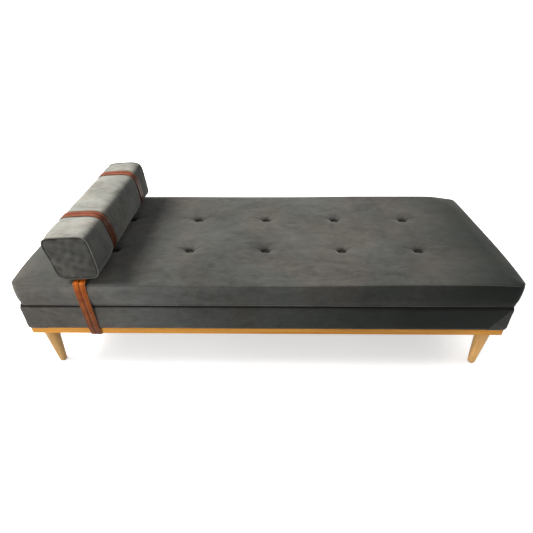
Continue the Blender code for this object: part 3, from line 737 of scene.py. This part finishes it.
def section(across, up, along, grow=0.0):
    """A point of the bolster, in its own upright axes, from its place in a unit square and along it."""
    end = smooth_step(BOLSTER_RIM - 0.050, BOLSTER_RIM, np.abs(along))
    held = near_loop(along, 0.032)
    upper = np.where(across < 0, 6.4 - 0.9 * end - 0.3 * held, 4.6 + 1.5 * end - 1.3 * held)
    power = np.where(up >= 0, upper, 4.0 + 1.6 * end - 0.6 * held)
    angle = np.arctan2(up, across)
    reach = superellipse(angle, power) * np.maximum(np.abs(up), np.abs(across))
    right, high = reach * np.cos(angle), reach * np.sin(angle)
    free = 1 - np.clip(near_loop(along, 0.060) + bump_line(np.abs(along) - BOLSTER_RIM, 0.045), 0, 1)
    size = BOLSTER_BOW * free - LOOP_SQUEEZE * held - 0.0026 * end + grow
    low = np.clip(0.5 - high / 2, 0, 1)
    kick = FRONT_KICK * end * low ** 1.5 * (along < 0)
    full = BACK_FULL * smooth_step(0.245, 0.345, along) * np.clip(high, 0, 1) * np.cos(0.9 * right)
    filled = LEFT_FILL * np.clip(right, None, 0) * smooth_step(-0.3, 0.8, high) * (1 - 0.1 * end)
    bulge = bump_line(along + 0.275, 0.075) * np.clip(right, 0, 1) * smooth_step(0.6, -0.6, high)
    width = (BOLSTER_HALF_WIDTH + size) * right * (1 - 0.045 * end * low)
    height = (BOLSTER_HALF_HEIGHT + size * 0.6 - 0.0008) * high
    return np.stack([width + filled + FRONT_BULGE * bulge, along + kick, height + full], axis=-1)


def skewed(across, up, lean):
    """Where the leaning sides and the tilted top carry a point of the upright section."""
    x = across * math.cos(BOLSTER_TILT) - up * np.sin(lean)
    return x, across * math.sin(BOLSTER_TILT) + up * np.cos(lean)


def bolster_centre():
    """The middle of the bolster's section: the leaning section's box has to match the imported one."""
    angle = np.linspace(0, math.tau, 721)
    reach = superellipse(angle, np.where(np.sin(angle) >= 0, *BOLSTER_POWERS))
    across, up = BOLSTER_HALF_WIDTH * reach * np.cos(angle), BOLSTER_HALF_HEIGHT * reach * np.sin(angle)
    x, z = skewed(across, up, BOLSTER_LEAN)
    middle = (BOLSTER_LOW + BOLSTER_HIGH) / 2
    aside = (x.min() + x.max()) / 2 - BOLSTER_SHIFT
    return np.array([middle.x - aside, middle.y, middle.z - (z.min() + z.max()) / 2])


def bolster_to_world(local):
    """Leans the bolster back, a little more at the front than at the back, and turns it slightly in plan."""
    along = local[:, 1]
    x, z = skewed(local[:, 0], local[:, 2], BOLSTER_LEAN - BOLSTER_TWIST * along / BOLSTER_RIM)
    cosine, sine = math.cos(BOLSTER_YAW), math.sin(BOLSTER_YAW)
    return np.stack([x * cosine + along * sine, along * cosine - x * sine, z], axis=1) + bolster_centre()


def section_ring(along, count, grow=0.0):
    """Points round the bolster's section at one place along it, and outward directions, in its axes."""
    angle = np.linspace(0, math.tau, count + 1)[:-1]
    share = np.maximum(np.abs(np.cos(angle)), np.abs(np.sin(angle)))
    ring = section(np.cos(angle) / share, np.sin(angle) / share, np.full(count, along), grow)
    ahead = np.roll(ring, -1, 0) - np.roll(ring, 1, 0)
    return ring, unit_rows(np.stack([ahead[:, 2], np.zeros(count), -ahead[:, 0]], axis=1))


def make_bolster(material):
    lines = spaced(-1, 1, 0.105, 0.040)
    ys = spaced(-BOLSTER_RIM, BOLSTER_RIM, 0.013, 0.0055, LOOP_PLACES, 0.04)
    cage, faces = lattice_box(lines, ys, lines)
    across, along, up = cage.T
    on_end = np.abs(along) > BOLSTER_RIM - 1e-6
    share = np.maximum(np.abs(across), np.abs(up))
    local = section(across, up, along)
    local[:, 1] += np.where(on_end, np.sign(along) * 0.005 * (1 - share ** 2), 0)
    held = (on_end & (share > 0.999)) | (from_loop(along) < STRAP_WIDTH / 2 + 0.001)
    obj = soft_form("bolster", local, faces, cage, held, material, pressure=2.5, cap=0.0035)

    local, cage, normals = read_skin(obj)
    across, along, up = cage.T
    on_end = np.abs(along) > BOLSTER_RIM - 1e-5
    on_side = ~on_end
    rim_distance = (1 - np.maximum(np.abs(across), np.abs(up))) * BOLSTER_HALF_WIDTH
    from_rim = np.where(on_end, rim_distance, BOLSTER_RIM - np.abs(along))
    groove = 0.0014 * bump_line(from_rim - 0.0072, 0.0016) * on_side
    groove += 0.0012 * bump_line(from_rim - 0.003, 0.002) * on_end
    groove += 0.0016 * bump_line(up - 0.97, 0.03) * bump_line(across + 0.97, 0.06) * on_side
    past_loop = from_loop(along)
    in_loop = smooth_step(0.036, 0.028, past_loop) * on_side
    ripple = 0.0013 * waves(local * [1, 0.6, 1], 17, (0.16, 0.07)) * smooth_step(0.0, 0.02, from_rim)
    gathers = 0.0010 * waves(local * [6, 1, 6], 23, (0.10,)) * bump_line(from_rim - 0.016, 0.014) * on_side
    push = (ripple + gathers - groove) * (1 - in_loop)
    write_points(obj, bolster_to_world(local + normals * push[:, None]))
    # Mottled wear together with painted shade on the end panels, which are darker than the sides.
    wear_and_painted_shade = np.clip(0.59 + 0.45 * waves(local, 31, (0.060, 0.030)), 0.1, 0.8)
    # Painted shadow: a dark line beside each loop; the grooves get painted shade too.
    painted_loop_shadow = 0.55 * bump_line(past_loop - STRAP_WIDTH / 2 - 0.0010, 0.0030) * on_side
    keep_value(obj, "crease", np.clip(groove / 0.0016 * 0.40 + painted_loop_shadow + on_end * wear_and_painted_shade, 0, 1))
    normals = read_normals(obj)
    # Painted light on the upward faces, painted shade on the side facing the foot end.
    keep_value(obj, "nap_and_painted_light", np.where(on_end, 0.0, 0.05 + 0.85 * smooth_step(0.55, 0.90, normals[:, 2])))
    keep_value(obj, "shade", 0.40 * smooth_step(0.2, 0.8, normals[:, 0]))
    return obj


def end_welt(name, sign, material, sides=10):
    """The sewn-in cord round one end panel, in the bolster's velvet, with painted light on its upper and
    foot-end side and painted shade on the rest.
    """
    ring, outward = section_ring(sign * (BOLSTER_RIM - 0.0008), 120, 0.0006)
    obj = tube(name, bolster_to_world(ring + outward * 0.0004), 0.0020, material, sides)
    # Painted light where the cord faces up and towards the foot end, painted shade elsewhere.
    lit = np.repeat(smooth_step(-0.1, 0.8, outward @ [0.9, 0.0, 0.25]), sides)
    keep_value(obj, "nap_and_painted_light", 0.30 * lit)
    keep_value(obj, "crease", 0.42 * (1 - lit))
    return obj


# ---------------------------------------------------------------- seams, zips and the dust cloth
def seam_ring(obj, height):
    """The mattress's side at one height of its cage, in order round it: points and outward directions."""
    points, cage, normals = read_skin(obj)
    on_side = inward_of(cage, SEAM_HALF_X, SEAM_HALF_Y) < 1e-5
    chosen = np.flatnonzero(on_side & (np.abs(cage[:, 2] - height) < 1e-5))
    order = chosen[np.argsort(np.arctan2(cage[chosen, 1] / SEAM_HALF_Y, cage[chosen, 0] / SEAM_HALF_X))]
    return points[order], unit_rows(normals[order] * [1, 1, 0], 1e-6)


def surface_line(obj, starts, heading):
    """Where rays from the starts meet a piece, and its outward directions there."""
    mesh = obj.data
    tree = BVHTree.FromPolygons([v.co for v in mesh.vertices], [tuple(p.vertices) for p in mesh.polygons])
    hits = [tree.ray_cast(Vector(start), Vector(heading))[:2] for start in starts]
    path, outward = (np.array([tuple(hit[part]) for hit in hits]) for part in (0, 1))
    return path, outward * -np.sign(outward @ np.array(heading))[:, None]


def add_plate(points, faces, axes, outline, low, high, taper):
    """Adds a prism: an outline of (along, aside) points between two heights, its top narrowed by a taper."""
    at, along, aside, out = axes
    faces += ring_faces(2, len(outline), base=len(points))
    for up, narrow in ((low, 1.0), (high, taper)):
        points += [at + along * a + aside * b * narrow + out * up for a, b in outline]


def make_zip(name, obj, starts, heading, cloth, metal):
    """A closed coil zip let into a seam: its tape, its ridged coil, and a slider with its pull."""
    path, outward = surface_line(obj, starts, heading)
    ahead = unit_rows(np.gradient(path, axis=0))
    aside = np.cross(outward, ahead)
    half, rise, sunk = 0.0042, 0.0003, -0.0012
    rim = [(-half, sunk), (-half, rise * 0.3), (-half * 0.8, rise),
           (half * 0.8, rise), (half, rise * 0.3), (half, sunk)]
    rings = [path + aside * across + outward * up for across, up in rim]
    tape = swept(name + "_tape", np.stack(rings, axis=1), cloth)

    sides, pitch, ridge = 6, 0.0007, 0.22
    steps = np.linspace(0, len(path) - 1, int(travelled(path)[-1] / pitch))
    line, out = (between(steps, np.arange(len(path)), rows) for rows in (path, outward))
    coil = tube(name + "_coil", line - out * 0.0004, 0.0010, cloth, sides, False)
    rings = read_points(coil).reshape(-1, sides, 3)
    middle = rings.mean(axis=1, keepdims=True)
    swing = 1 + ridge * np.cos(np.arange(len(rings)) * math.tau / 3)
    write_points(coil, middle + (rings - middle) * swing[:, None, None])

    body, bridge = (np.array([(-1, -1), (1, -1), (1, 1), (-1, 1)]) * size
                    for size in ((0.0050, 0.0036), (0.0016, 0.0016)))
    tab = [(-0.002, 0.0022), (0.019, 0.0030), (0.021, 0.0), (0.019, -0.0030), (-0.002, -0.0022)]
    axes = path[4], ahead[4], aside[4], outward[4]
    points, faces = [], []
    add_plate(points, faces, axes, body, 0.0, 0.0022, 0.8)
    add_plate(points, faces, axes, bridge, 0.0020, 0.0034, 0.8)
    add_plate(points, faces, axes, tab, 0.0026, 0.0036, 1.0)
    slider = make_outward(mesh_object(name + "_slider", points, faces, metal, smooth=False))
    return tape, coil, slider, (path, outward, aside)


def make_dust_cloth(material):
    """The thin cloth under the base: stapled at its edges and over the crossbars, sagging a little
    between them, and tight over the corner blocks."""
    bars = [middle_of(f"plinth_crossbar_{side}").x for side in ("left", "right")]
    xs = spaced(DUST_LOW.x, DUST_HIGH.x, 0.030, 0.010, bars, 0.04)
    ys = spaced(DUST_LOW.y, DUST_HIGH.y, 0.030, 0.010)
    points, faces = lattice_box(xs, ys, np.array([DUST_LOW.z + 0.0001, DUST_LOW.z + 0.0007]))
    x, y = np.abs(points[:, 0]), np.abs(points[:, 1])
    half_bar, hem, reach = 0.024, 0.012, 0.16
    from_bar = [np.abs(points[:, 0] - bar) - half_bar for bar in bars]
    slack = smooth_step(0.0, reach, np.min(from_bar + [DUST_HIGH.x - x - hem], axis=0))
    slack *= smooth_step(0.0, reach, DUST_HIGH.y - y - hem)
    slack *= 1 - smooth_step(-0.02, 0.02, np.minimum(x - 0.86, y - 0.23))
    points[:, 2] -= 0.0042 * slack * (1 + 0.25 * waves(points, 41, (0.20, 0.09)))
    return mesh_object("dust_cloth", points, faces, material)


# ---------------------------------------------------------------- leather straps
def strap_profile():
    """(across, up) round a strap: two gently crowned bands, a groove between them and one along each edge."""
    flat, thick = STRAP_WIDTH / 2 - STRAP_EDGE, STRAP_THICKNESS / 2
    face = []
    for across in np.linspace(-flat, flat, 37):
        aside = abs(across)
        up = STRAP_THICKNESS + BAND_CROWN * math.sin(math.pi * min(aside / STITCH_ROW, 1)) ** 2
        up -= GROOVE_DEPTH * (bump_line(aside, 0.0017) + bump_line(aside - STITCH_ROW, 0.0008))
        face.append((across, up))
    edge = [(flat + STRAP_EDGE * math.cos(turn), thick + (thick - 0.0002) * math.sin(turn))
            for turn in map(math.radians, (60, 20, -20, -60))]
    sole = [(across, 0.0) for across in np.linspace(flat, -flat, 5)]
    return np.array(face + edge + sole + [(-across, up) for across, up in reversed(edge)])


def strap(name, path, outward, aside, material, wear_and_painted_shade, painted_highlight, closed=False, tips=0.0):
    """Sweeps the strap's profile along a path. Outward and aside are directions at each point of the path;
    the next two arrays give how much painted shade and how much painted highlight the leather gets there."""
    profile = strap_profile()
    scale = np.ones(len(path))
    if tips:
        passed = travelled(path)
        for distance in (passed, passed[-1] - passed):
            near = np.clip(1 - distance / tips, 0, 1)
            scale = np.minimum(scale, np.sqrt(1 - near ** 2 * 0.97))
    across = (profile[:, 0] * scale[:, None])[:, :, None]
    rings = path[:, None] + across * aside[:, None] + profile[:, 1, None] * outward[:, None]
    obj = swept(name, rings, material, closed)
    from_middle = np.abs(profile[:, 0])
    keep_value(obj, "across", np.tile(from_middle / (STRAP_WIDTH / 2), len(path)))
    # Painted shade in the middle groove and the two edge grooves.
    grooves = 0.80 * bump_line(from_middle, 0.0026) + 0.70 * bump_line(STITCH_ROW - from_middle, 0.0016)
    grooves *= profile[:, 1] > 0.001
    keep_value(obj, "crease", np.clip(grooves + wear_and_painted_shade[:, None], 0, 1).ravel())
    keep_value(obj, "painted_highlight", np.repeat(painted_highlight, len(profile)))
    return obj


def stitches(name, path, outward, aside, offsets, material):
    """Rows of short raised threads along a path, each row a distance aside from its middle."""
    pitch, length, radius, sides = 0.0068, 0.0046, 0.00042, 5
    passed, frames = travelled(path), np.hstack([path, outward, aside])
    turns, shares = math.tau * np.arange(sides) / sides, np.linspace(-0.5, 0.5, 4)
    points, faces = [], []
    for offset in offsets:
        for start in np.arange(pitch, passed[-1] - pitch, pitch):
            faces += ring_faces(len(shares), sides, base=len(points))
            for share in shares:
                place, out, side = between(start + share * length, passed, frames).reshape(3, 3)
                middle = place + side * offset + out * radius * (0.5 - 4.5 * share ** 2)
                points += [middle + radius * (math.cos(turn) * side + math.sin(turn) * out) for turn in turns]
    return make_outward(mesh_object(name, points, faces, material))


def edge_stitches(name, path, outward, aside, material):
    return stitches(name, path + outward * THREAD_HEIGHT, outward, aside, (-STITCH_ROW, STITCH_ROW), material)


def make_loop(name, along, material, thread):
    """A leather band round the bolster, and its stitching."""
    step = 0.01
    ring, outward = section_ring(along, 144, CLEAR)
    world = bolster_to_world(ring)
    outward, aside = ((bolster_to_world(ring + way * step) - world) / step
                      for way in (outward, np.array([0, 1, 0])))
    # Painted shade on the loop's side facing the foot end.
    wear_and_painted_shade = 0.70 * smooth_step(0.35, 0.90, outward[:, 0])
    obj = strap(name, world, outward, aside, material, wear_and_painted_shade, 0 * wear_and_painted_shade, closed=True)
    world, outward, aside = (np.vstack([rows, rows[:1]]) for rows in (world, outward, aside))
    return obj, edge_stitches(name + "_stitching", world, outward, aside, thread)


def hull(points):
    """The convex outline of (y, z) points, anticlockwise."""
    order = sorted(set(map(tuple, np.round(points, 5))))
    halves = []
    for run in (order, order[::-1]):
        half = []
        for point in run:
            while len(half) > 1 and ((half[-1][0] - half[-2][0]) * (point[1] - half[-2][1])
                                     - (half[-1][1] - half[-2][1]) * (point[0] - half[-2][0])) <= 0:
                half.pop()
            half.append(point)
        halves.append(half[:-1])
    return np.array(halves[0] + halves[1])


def belt_ring(bodies):
    """(y, z) points and outward directions round everything that the belt holds, anticlockwise."""
    reach, bend, step = 0.93, math.radians(7), 0.012
    cloud = [(sy * PLINTH_LOW.y, z) for sy in (-1, 1) for z in (PLINTH_LOW.z, PLINTH_HIGH.z)]
    for points in map(read_points, bodies):
        cloud += [tuple(point) for point in points[np.abs(points[:, 0]) < reach][:, 1:]]
    outline = hull(np.array(cloud))
    edges = np.roll(outline, -1, 0) - outline
    length = np.linalg.norm(edges, axis=1)
    normals = np.stack([edges[:, 1], -edges[:, 0]], axis=1) / length[:, None]
    ring, outward = [], []
    for number, corner in enumerate(outline):
        first, second = normals[number - 1], normals[number]
        turn = math.atan2(first[0] * second[1] - first[1] * second[0], first @ second)
        for share in np.linspace(0, 1, max(1, int(turn / bend)) + 1):
            cosine, sine = math.cos(turn * share), math.sin(turn * share)
            direction = np.array([first[0] * cosine - first[1] * sine, first[0] * sine + first[1] * cosine])
            ring.append(corner + direction * CLEAR)
            outward.append(direction)
        for share in np.arange(1, int(length[number] / step)) / (length[number] / step):
            ring.append(corner + edges[number] * share + second * CLEAR)
            outward.append(second)
    return np.array(ring), np.array(outward)


def make_belt(material, thread, bodies):
    """The belt, from its upper end under the bed, forwards, up, over the mattress and back under itself."""
    ring, outward = belt_ring(bodies)
    low = ring[:, 1].min()
    for way in (-1, 1):
        start = int(np.argmin(np.where(ring[:, 1] < low + 0.0002, ring[:, 0], 9)))
        ring, outward = (np.roll(rows, -start, 0)[::way] for rows in (ring, outward))
    under = (ring[:, 1] < low + 0.0002) & (outward[:, 1] < -0.999)
    front_corner, back_corner = ring[under, 0].min(), ring[under, 0].max()
    layer, (dip, dipped) = STRAP_THICKNESS + BAND_CROWN + CLEAR, BELT_DIP
    head = [(y, low) for y in np.linspace(BELT_UPPER_END, front_corner + 0.004, 34)]
    tail = [(y, low) for y in np.linspace(back_corner - 0.004, dip, 26)]
    tail += [(dip + (dipped - dip) * share, low - layer * smooth_step(0, 1, share))
             for share in np.linspace(0.1, 0.9, 7)]
    tail += [(y, low - layer) for y in np.linspace(dipped, BELT_LOWER_END, 34)]
    flat = np.vstack([head, ring[~under], tail])
    away = np.vstack([[(0, -1)] * len(head), outward[~under], [(0, -1)] * len(tail)])
    path = np.column_stack([np.full(len(flat), middle_of("belt_strap").x), flat])
    away = np.column_stack([np.zeros(len(away)), away])
    aside = np.tile([1.0, 0.0, 0.0], (len(path), 1))
    front, height = path[:, 1] < 0, path[:, 2]
    # Painted shade on the lower front of the belt; painted highlight where it bends over the mattress's top
    # front edge and faces up.
    wear_and_painted_shade = 0.50 * smooth_step(0.44, 0.27, height) * front
    painted_highlight = 0.60 * bump_line(away[:, 2] - 0.55, 0.45) * front * (height > 0.42)
    obj = strap("belt", path, away, aside, material, wear_and_painted_shade, painted_highlight, tips=0.012)
    return obj, edge_stitches("belt_stitching", path, away, aside, thread), low, layer


def make_post_screw(name, node, low, layer, material):
    """A post screw through both layers of the belt, with a round recess in its lower head."""
    place, top, foot = middle_of(node), 0.0002, -(layer + STRAP_THICKNESS + BAND_CROWN + 0.0002)
    profile = [(0, top + 0.0014), (0.0030, top + 0.0013), (0.0046, top + 0.0007), (0.0050, top),
               (0.0024, top), (0.0024, foot), (0.0050, foot), (0.0046, foot - 0.0009),
               (0.0030, foot - 0.0014), (0.0012, foot - 0.0015), (0.0010, foot - 0.0009), (0, foot - 0.0009)]
    return turned(name, profile, material, (place.x, place.y, low))


def make_button(name, place, material):
    """A covered button: domed, its cloth drawn round the rim in small gathers."""
    floor = MATTRESS_HIGH.z - TUFT_DEPTH + 0.0004
    profile = [(0, 0.0056), (0.0020, 0.0055), (0.0040, 0.0051), (0.0060, 0.0044), (0.0078, 0.0034),
               (0.0090, 0.0024), (0.0096, 0.0014), (0.0094, 0.0006), (0.0084, 0.0), (0, 0.0)]
    obj = turned(name, profile, material, (place[0], place[1], floor), 40)
    points = read_points(obj)
    away = points[:, :2] - np.array(place[:2])
    reach = np.hypot(away[:, 0], away[:, 1])
    gather = 0.00025 * np.sin(np.arctan2(away[:, 1], away[:, 0]) * 14) * smooth_step(0.006, 0.0094, reach)
    points[:, :2] += unit_rows(away, 1e-6) * gather[:, None]
    write_points(obj, points)
    # Painted shade: the button sits deep in its hollow, so it is darkened almost to the crease colour.
    keep_value(obj, "crease", np.full(len(points), 0.92))
    return obj


# ---------------------------------------------------------------- materials
MATERIALS = {
    "velvet": velvet("velvet_bed", (0.090, 0.083, 0.075), (0.078, 0.081, 0.076)),
    # A lighter copy of the bed's grey velvet: painted light for the light falling on the bolster.
    "bolster": velvet("velvet_bolster_painted_lighter", (0.148, 0.142, 0.127), (0.136, 0.140, 0.128), 6.0),
    "oak_plinth": oak("oak_plinth", (0.50, 0.195, 0.022), (0.76, 0.350, 0.052), 0),
    "oak_plinth_end": oak("oak_plinth_end", (0.50, 0.195, 0.022), (0.76, 0.350, 0.052), 1, 3.0),
    "oak_leg": oak("oak_leg", (0.43, 0.225, 0.068), (0.66, 0.400, 0.150), 2, 7.0),
    "leather": leather("leather_belt", (0.165, 0.032, 0.003), (0.370, 0.088, 0.009), (0.380, 0.110, 0.018)),
    "loop": leather("leather_loop", (0.120, 0.034, 0.018), (0.240, 0.078, 0.042), (0.050, 0.014, 0.007)),
    "thread": plain("waxed_thread", (0.26, 0.10, 0.04), (0.40, 0.17, 0.07), 0.6, 900.0, 0.0002),
    "grey_thread": plain("grey_thread", (0.030, 0.030, 0.028), (0.060, 0.060, 0.057), 0.7, 900.0, 0.0002),
    "pine": oak("pine_boards", (0.52, 0.350, 0.180), (0.70, 0.520, 0.310), 1, 11.0),
    "plywood": oak("plywood_deck", (0.45, 0.300, 0.160), (0.62, 0.450, 0.270), 0, 5.0),
    "foam": plain("foam", (0.60, 0.57, 0.47), (0.74, 0.71, 0.60), 0.9, 400.0, 0.0008),
    "steel": plain("zinc_steel", (0.42, 0.42, 0.43), (0.62, 0.62, 0.63), 0.32, 220.0, 0.0001, 1.0),
    "felt": plain("felt", (0.020, 0.017, 0.015), (0.065, 0.055, 0.048), 0.95, 500.0, 0.0008),
    "dust_cloth": woven("dust_cloth", (0.010, 0.010, 0.011), (0.030, 0.030, 0.033), 180.0),
    "zip": plain("zip_nylon", (0.020, 0.020, 0.020), (0.060, 0.060, 0.062), 0.5, 300.0, 0.0003),
}


def dress_cad_nodes():
    """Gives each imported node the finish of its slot. Oak's grain follows the node's own length."""
    for entry in frame["record"]["subparts"]:
        node, finish = entry["node"], entry["material_slot"]
        if finish == "oak" and node.startswith("leg"):
            finish = "oak_leg"
        elif finish == "oak":
            finish = "oak_plinth_end" if node.endswith(("_left", "_right")) else "oak_plinth"
        mesh = frame["nodes"][node].data
        mesh.materials.clear()
        mesh.materials.append(MATERIALS[finish])


# ---------------------------------------------------------------- camera, light and floor
FLOOR_REACH, FLOOR_GLOW = 60.0, 0.49
LIGHTS = (                  # name, place, target, size in metres or degrees, power, colour
    ("key", (-3.4, 0.10, 3.5), (-0.3, 0.0, 0.4), 2.0, 260, (1.0, 0.965, 0.91)),
    ("sun", (-3.5, 0.10, 3.7), (0.0, 0.0, 0.0), 30, 1.8, (1.0, 0.975, 0.94)),
    ("fill", (-1.7, -1.7, 0.75), (-0.35, -0.35, 0.35), 0.9, 19, (1.0, 0.975, 0.93)),
    ("high_fill", (1.9, 0.2, 2.3), (-0.4, 0.0, 0.5), 2.2, 22, (1.0, 0.97, 0.92)),
    ("low_fill", (0.62, -1.05, 0.06), (0.945, -0.337, 0.07), 0.08, 0.10, (1.0, 0.97, 0.92)),
)
CAMERA_PLACE = Vector((0.0306, -1.6328, PLINTH_LOW.z + 1.2424))
CAMERA_YAW, CAMERA_PITCH, CAMERA_ROLL = (math.radians(angle) for angle in (-1.054, 35.185, 0.458))


def make_stage():
    corners = [(x * FLOOR_REACH, y * FLOOR_REACH, 0) for x, y in ((-1, -1), (1, -1), (1, 1), (-1, 1))]
    n = Nodes("floor")
    tone = n.noise(n.coordinates(), 1.5, 2.0)
    n.set(Base_Color=n.ramp(tone, (0.3, grey(0.86)), (0.7, grey(0.90))), Roughness=0.75)
    n.set(Emission_Color=(1.0, 1.0, 1.0, 1.0), Emission_Strength=FLOOR_GLOW)
    floor = mesh_object("floor", corners, [(0, 1, 2, 3)], n.material, smooth=False)
    floor.visible_diffuse = False

    scene = bpy.context.scene
    scene.world = bpy.data.worlds.new("studio")
    scene.world.use_nodes = True
    sky = scene.world.node_tree.nodes["Background"]
    sky.inputs["Color"].default_value = (0.97, 0.985, 1.0, 1.0)
    sky.inputs["Strength"].default_value = 0.46
    for name, place, target, size, power, colour in LIGHTS:
        light = bpy.data.lights.new(name, "SUN" if name == "sun" else "AREA")
        if name == "sun":
            light.angle = math.radians(size)
        else:
            light.shape = "DISK"
            light.size = size
        if name == "low_fill":
            light.spread = math.radians(30)
        light.energy = power
        light.color = colour
        obj = bpy.data.objects.new(name, light)
        obj.location = place
        obj.rotation_euler = (Vector(target) - Vector(place)).to_track_quat("-Z", "Y").to_euler()
        obj.visible_camera = False
        scene.collection.objects.link(obj)
    scene.view_settings.view_transform = "Standard"


def make_camera():
    camera = bpy.data.objects.new("camera", bpy.data.cameras.new("camera"))
    camera.data.lens = 27.506
    camera.data.sensor_width = 36.0
    camera.data.clip_end = 200.0
    turn = Matrix.Rotation(-CAMERA_YAW, 4, "Z") @ Matrix.Rotation(math.pi / 2 - CAMERA_PITCH, 4, "X")
    camera.matrix_world = Matrix.Translation(CAMERA_PLACE) @ turn @ Matrix.Rotation(-CAMERA_ROLL, 4, "Z")
    bpy.context.scene.collection.objects.link(camera)
    bpy.context.scene.camera = camera


# ---------------------------------------------------------------- build
def add(obj, body, slot, *nodes):
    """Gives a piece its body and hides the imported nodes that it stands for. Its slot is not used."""
    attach(obj, body)
    if nodes:
        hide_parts(*nodes)


make_camera()
make_stage()
dress_cad_nodes()

mattress = make_mattress(MATERIALS["velvet"])
base = make_base(MATERIALS["velvet"])
bolster = make_bolster(MATERIALS["bolster"])
for obj, body, thing, fill in ((mattress, "bed", "mattress", 0.9), (base, "bed", "base", 1.0),
                               (bolster, "bolster", "bolster", 0.85)):
    add(obj, body, "velvet", f"{thing}_cover", f"{thing}_foam")

welts = []
for place, height, lift, radius in (("bottom", 0.0, -0.0004, 0.0026), ("top", 1.0, 0.0002, 0.0012)):
    seam, out = seam_ring(mattress, height)
    line = seam + out * 0.0010 + np.array([0, 0, lift])
    welts.append(tube(f"mattress_welt_{place}", line, radius, MATERIALS["velvet"]))
    x = read_points(welts[-1])[:, 0]
    # Painted shade along the bed, and painted light: the bottom welt lighter, a little less so towards the
    # foot end, the top one a little lighter throughout.
    keep_value(welts[-1], "shade", np.interp(x, [-1, 0, 0.5, 0.9, 1.0], [0, 0, 0.25, 0.48, 0.7]))
    painted_welt_light = np.interp(x, [-1, 0, 0.6], [0.9, 0.9, 0.8]) if place == "bottom" else np.full(len(x), 0.3)
    keep_value(welts[-1], "nap_and_painted_light", painted_welt_light)
    add(welts[-1], "bed", "velvet")
seam, out = seam_ring(mattress, 0.97)
line, out = (np.vstack([rows, rows[:1]]) for rows in (seam, out))
up = np.tile([0.0, 0.0, 1.0], (len(line), 1))
add(stitches("mattress_topstitching", line, out, up, (-0.001,), MATERIALS["grey_thread"]), "bed", "velvet")

low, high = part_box("mattress_zip")
mattress_starts = [(x, 1.0, (low.z + high.z) / 2) for x in np.linspace(low.x, high.x, 130)]
low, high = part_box("bolster_zip")
bolster_starts = [(-1.5, y, (low.z + high.z) / 2) for y in np.linspace(low.y, high.y, 60)]
sewn = []
for obj, body, name, starts, heading in ((mattress, "bed", "mattress_zip", mattress_starts, (0, -1, 0)),
                                         (bolster, "bolster", "bolster_zip", bolster_starts, (1, 0, 0))):
    tape, coil, slider, line = make_zip(name, obj, starts, heading, MATERIALS["zip"], MATERIALS["steel"])
    add(tape, body, "zip", name)
    add(coil, body, "zip")
    add(slider, body, "zip")
    sewn.append((name, body, line))
for name, body, line in sewn:
    add(stitches(name + "_stitching", *line, (-0.0068, 0.0068), MATERIALS["grey_thread"]), body, "velvet")

dust_cloth = make_dust_cloth(MATERIALS["dust_cloth"])
add(dust_cloth, "bed", "dust_cloth", "dust_cover")

for face, sign in (("front", -1), ("back", 1)):
    add(end_welt(f"bolster_welt_{face}", sign, MATERIALS["bolster"]), "bolster", "velvet")
for button, place in zip(BUTTONS, BUTTON_PLACES):
    add(make_button(button.replace("mattress", "tuft"), place, MATERIALS["velvet"]), "bed", "velvet", button)
for face, along in zip(("front", "back"), LOOP_PLACES):
    band, threads = make_loop(f"loop_{face}", along, MATERIALS["loop"], MATERIALS["thread"])
    add(band, "bolster", "leather", f"bolster_loop_{face}")
    add(threads, "bolster", "leather")
belted = mattress, base, *welts
belt, threads, belt_low, layer = make_belt(MATERIALS["leather"], MATERIALS["thread"], belted)
add(belt, "bolster", "leather", "belt_strap")
add(threads, "bolster", "leather")
for number in (1, 2):
    node = f"belt_screw_{number}"
    screw = make_post_screw(f"post_screw_{number}", node, belt_low, layer, MATERIALS["steel"])
    add(screw, "bolster", "steel", node)
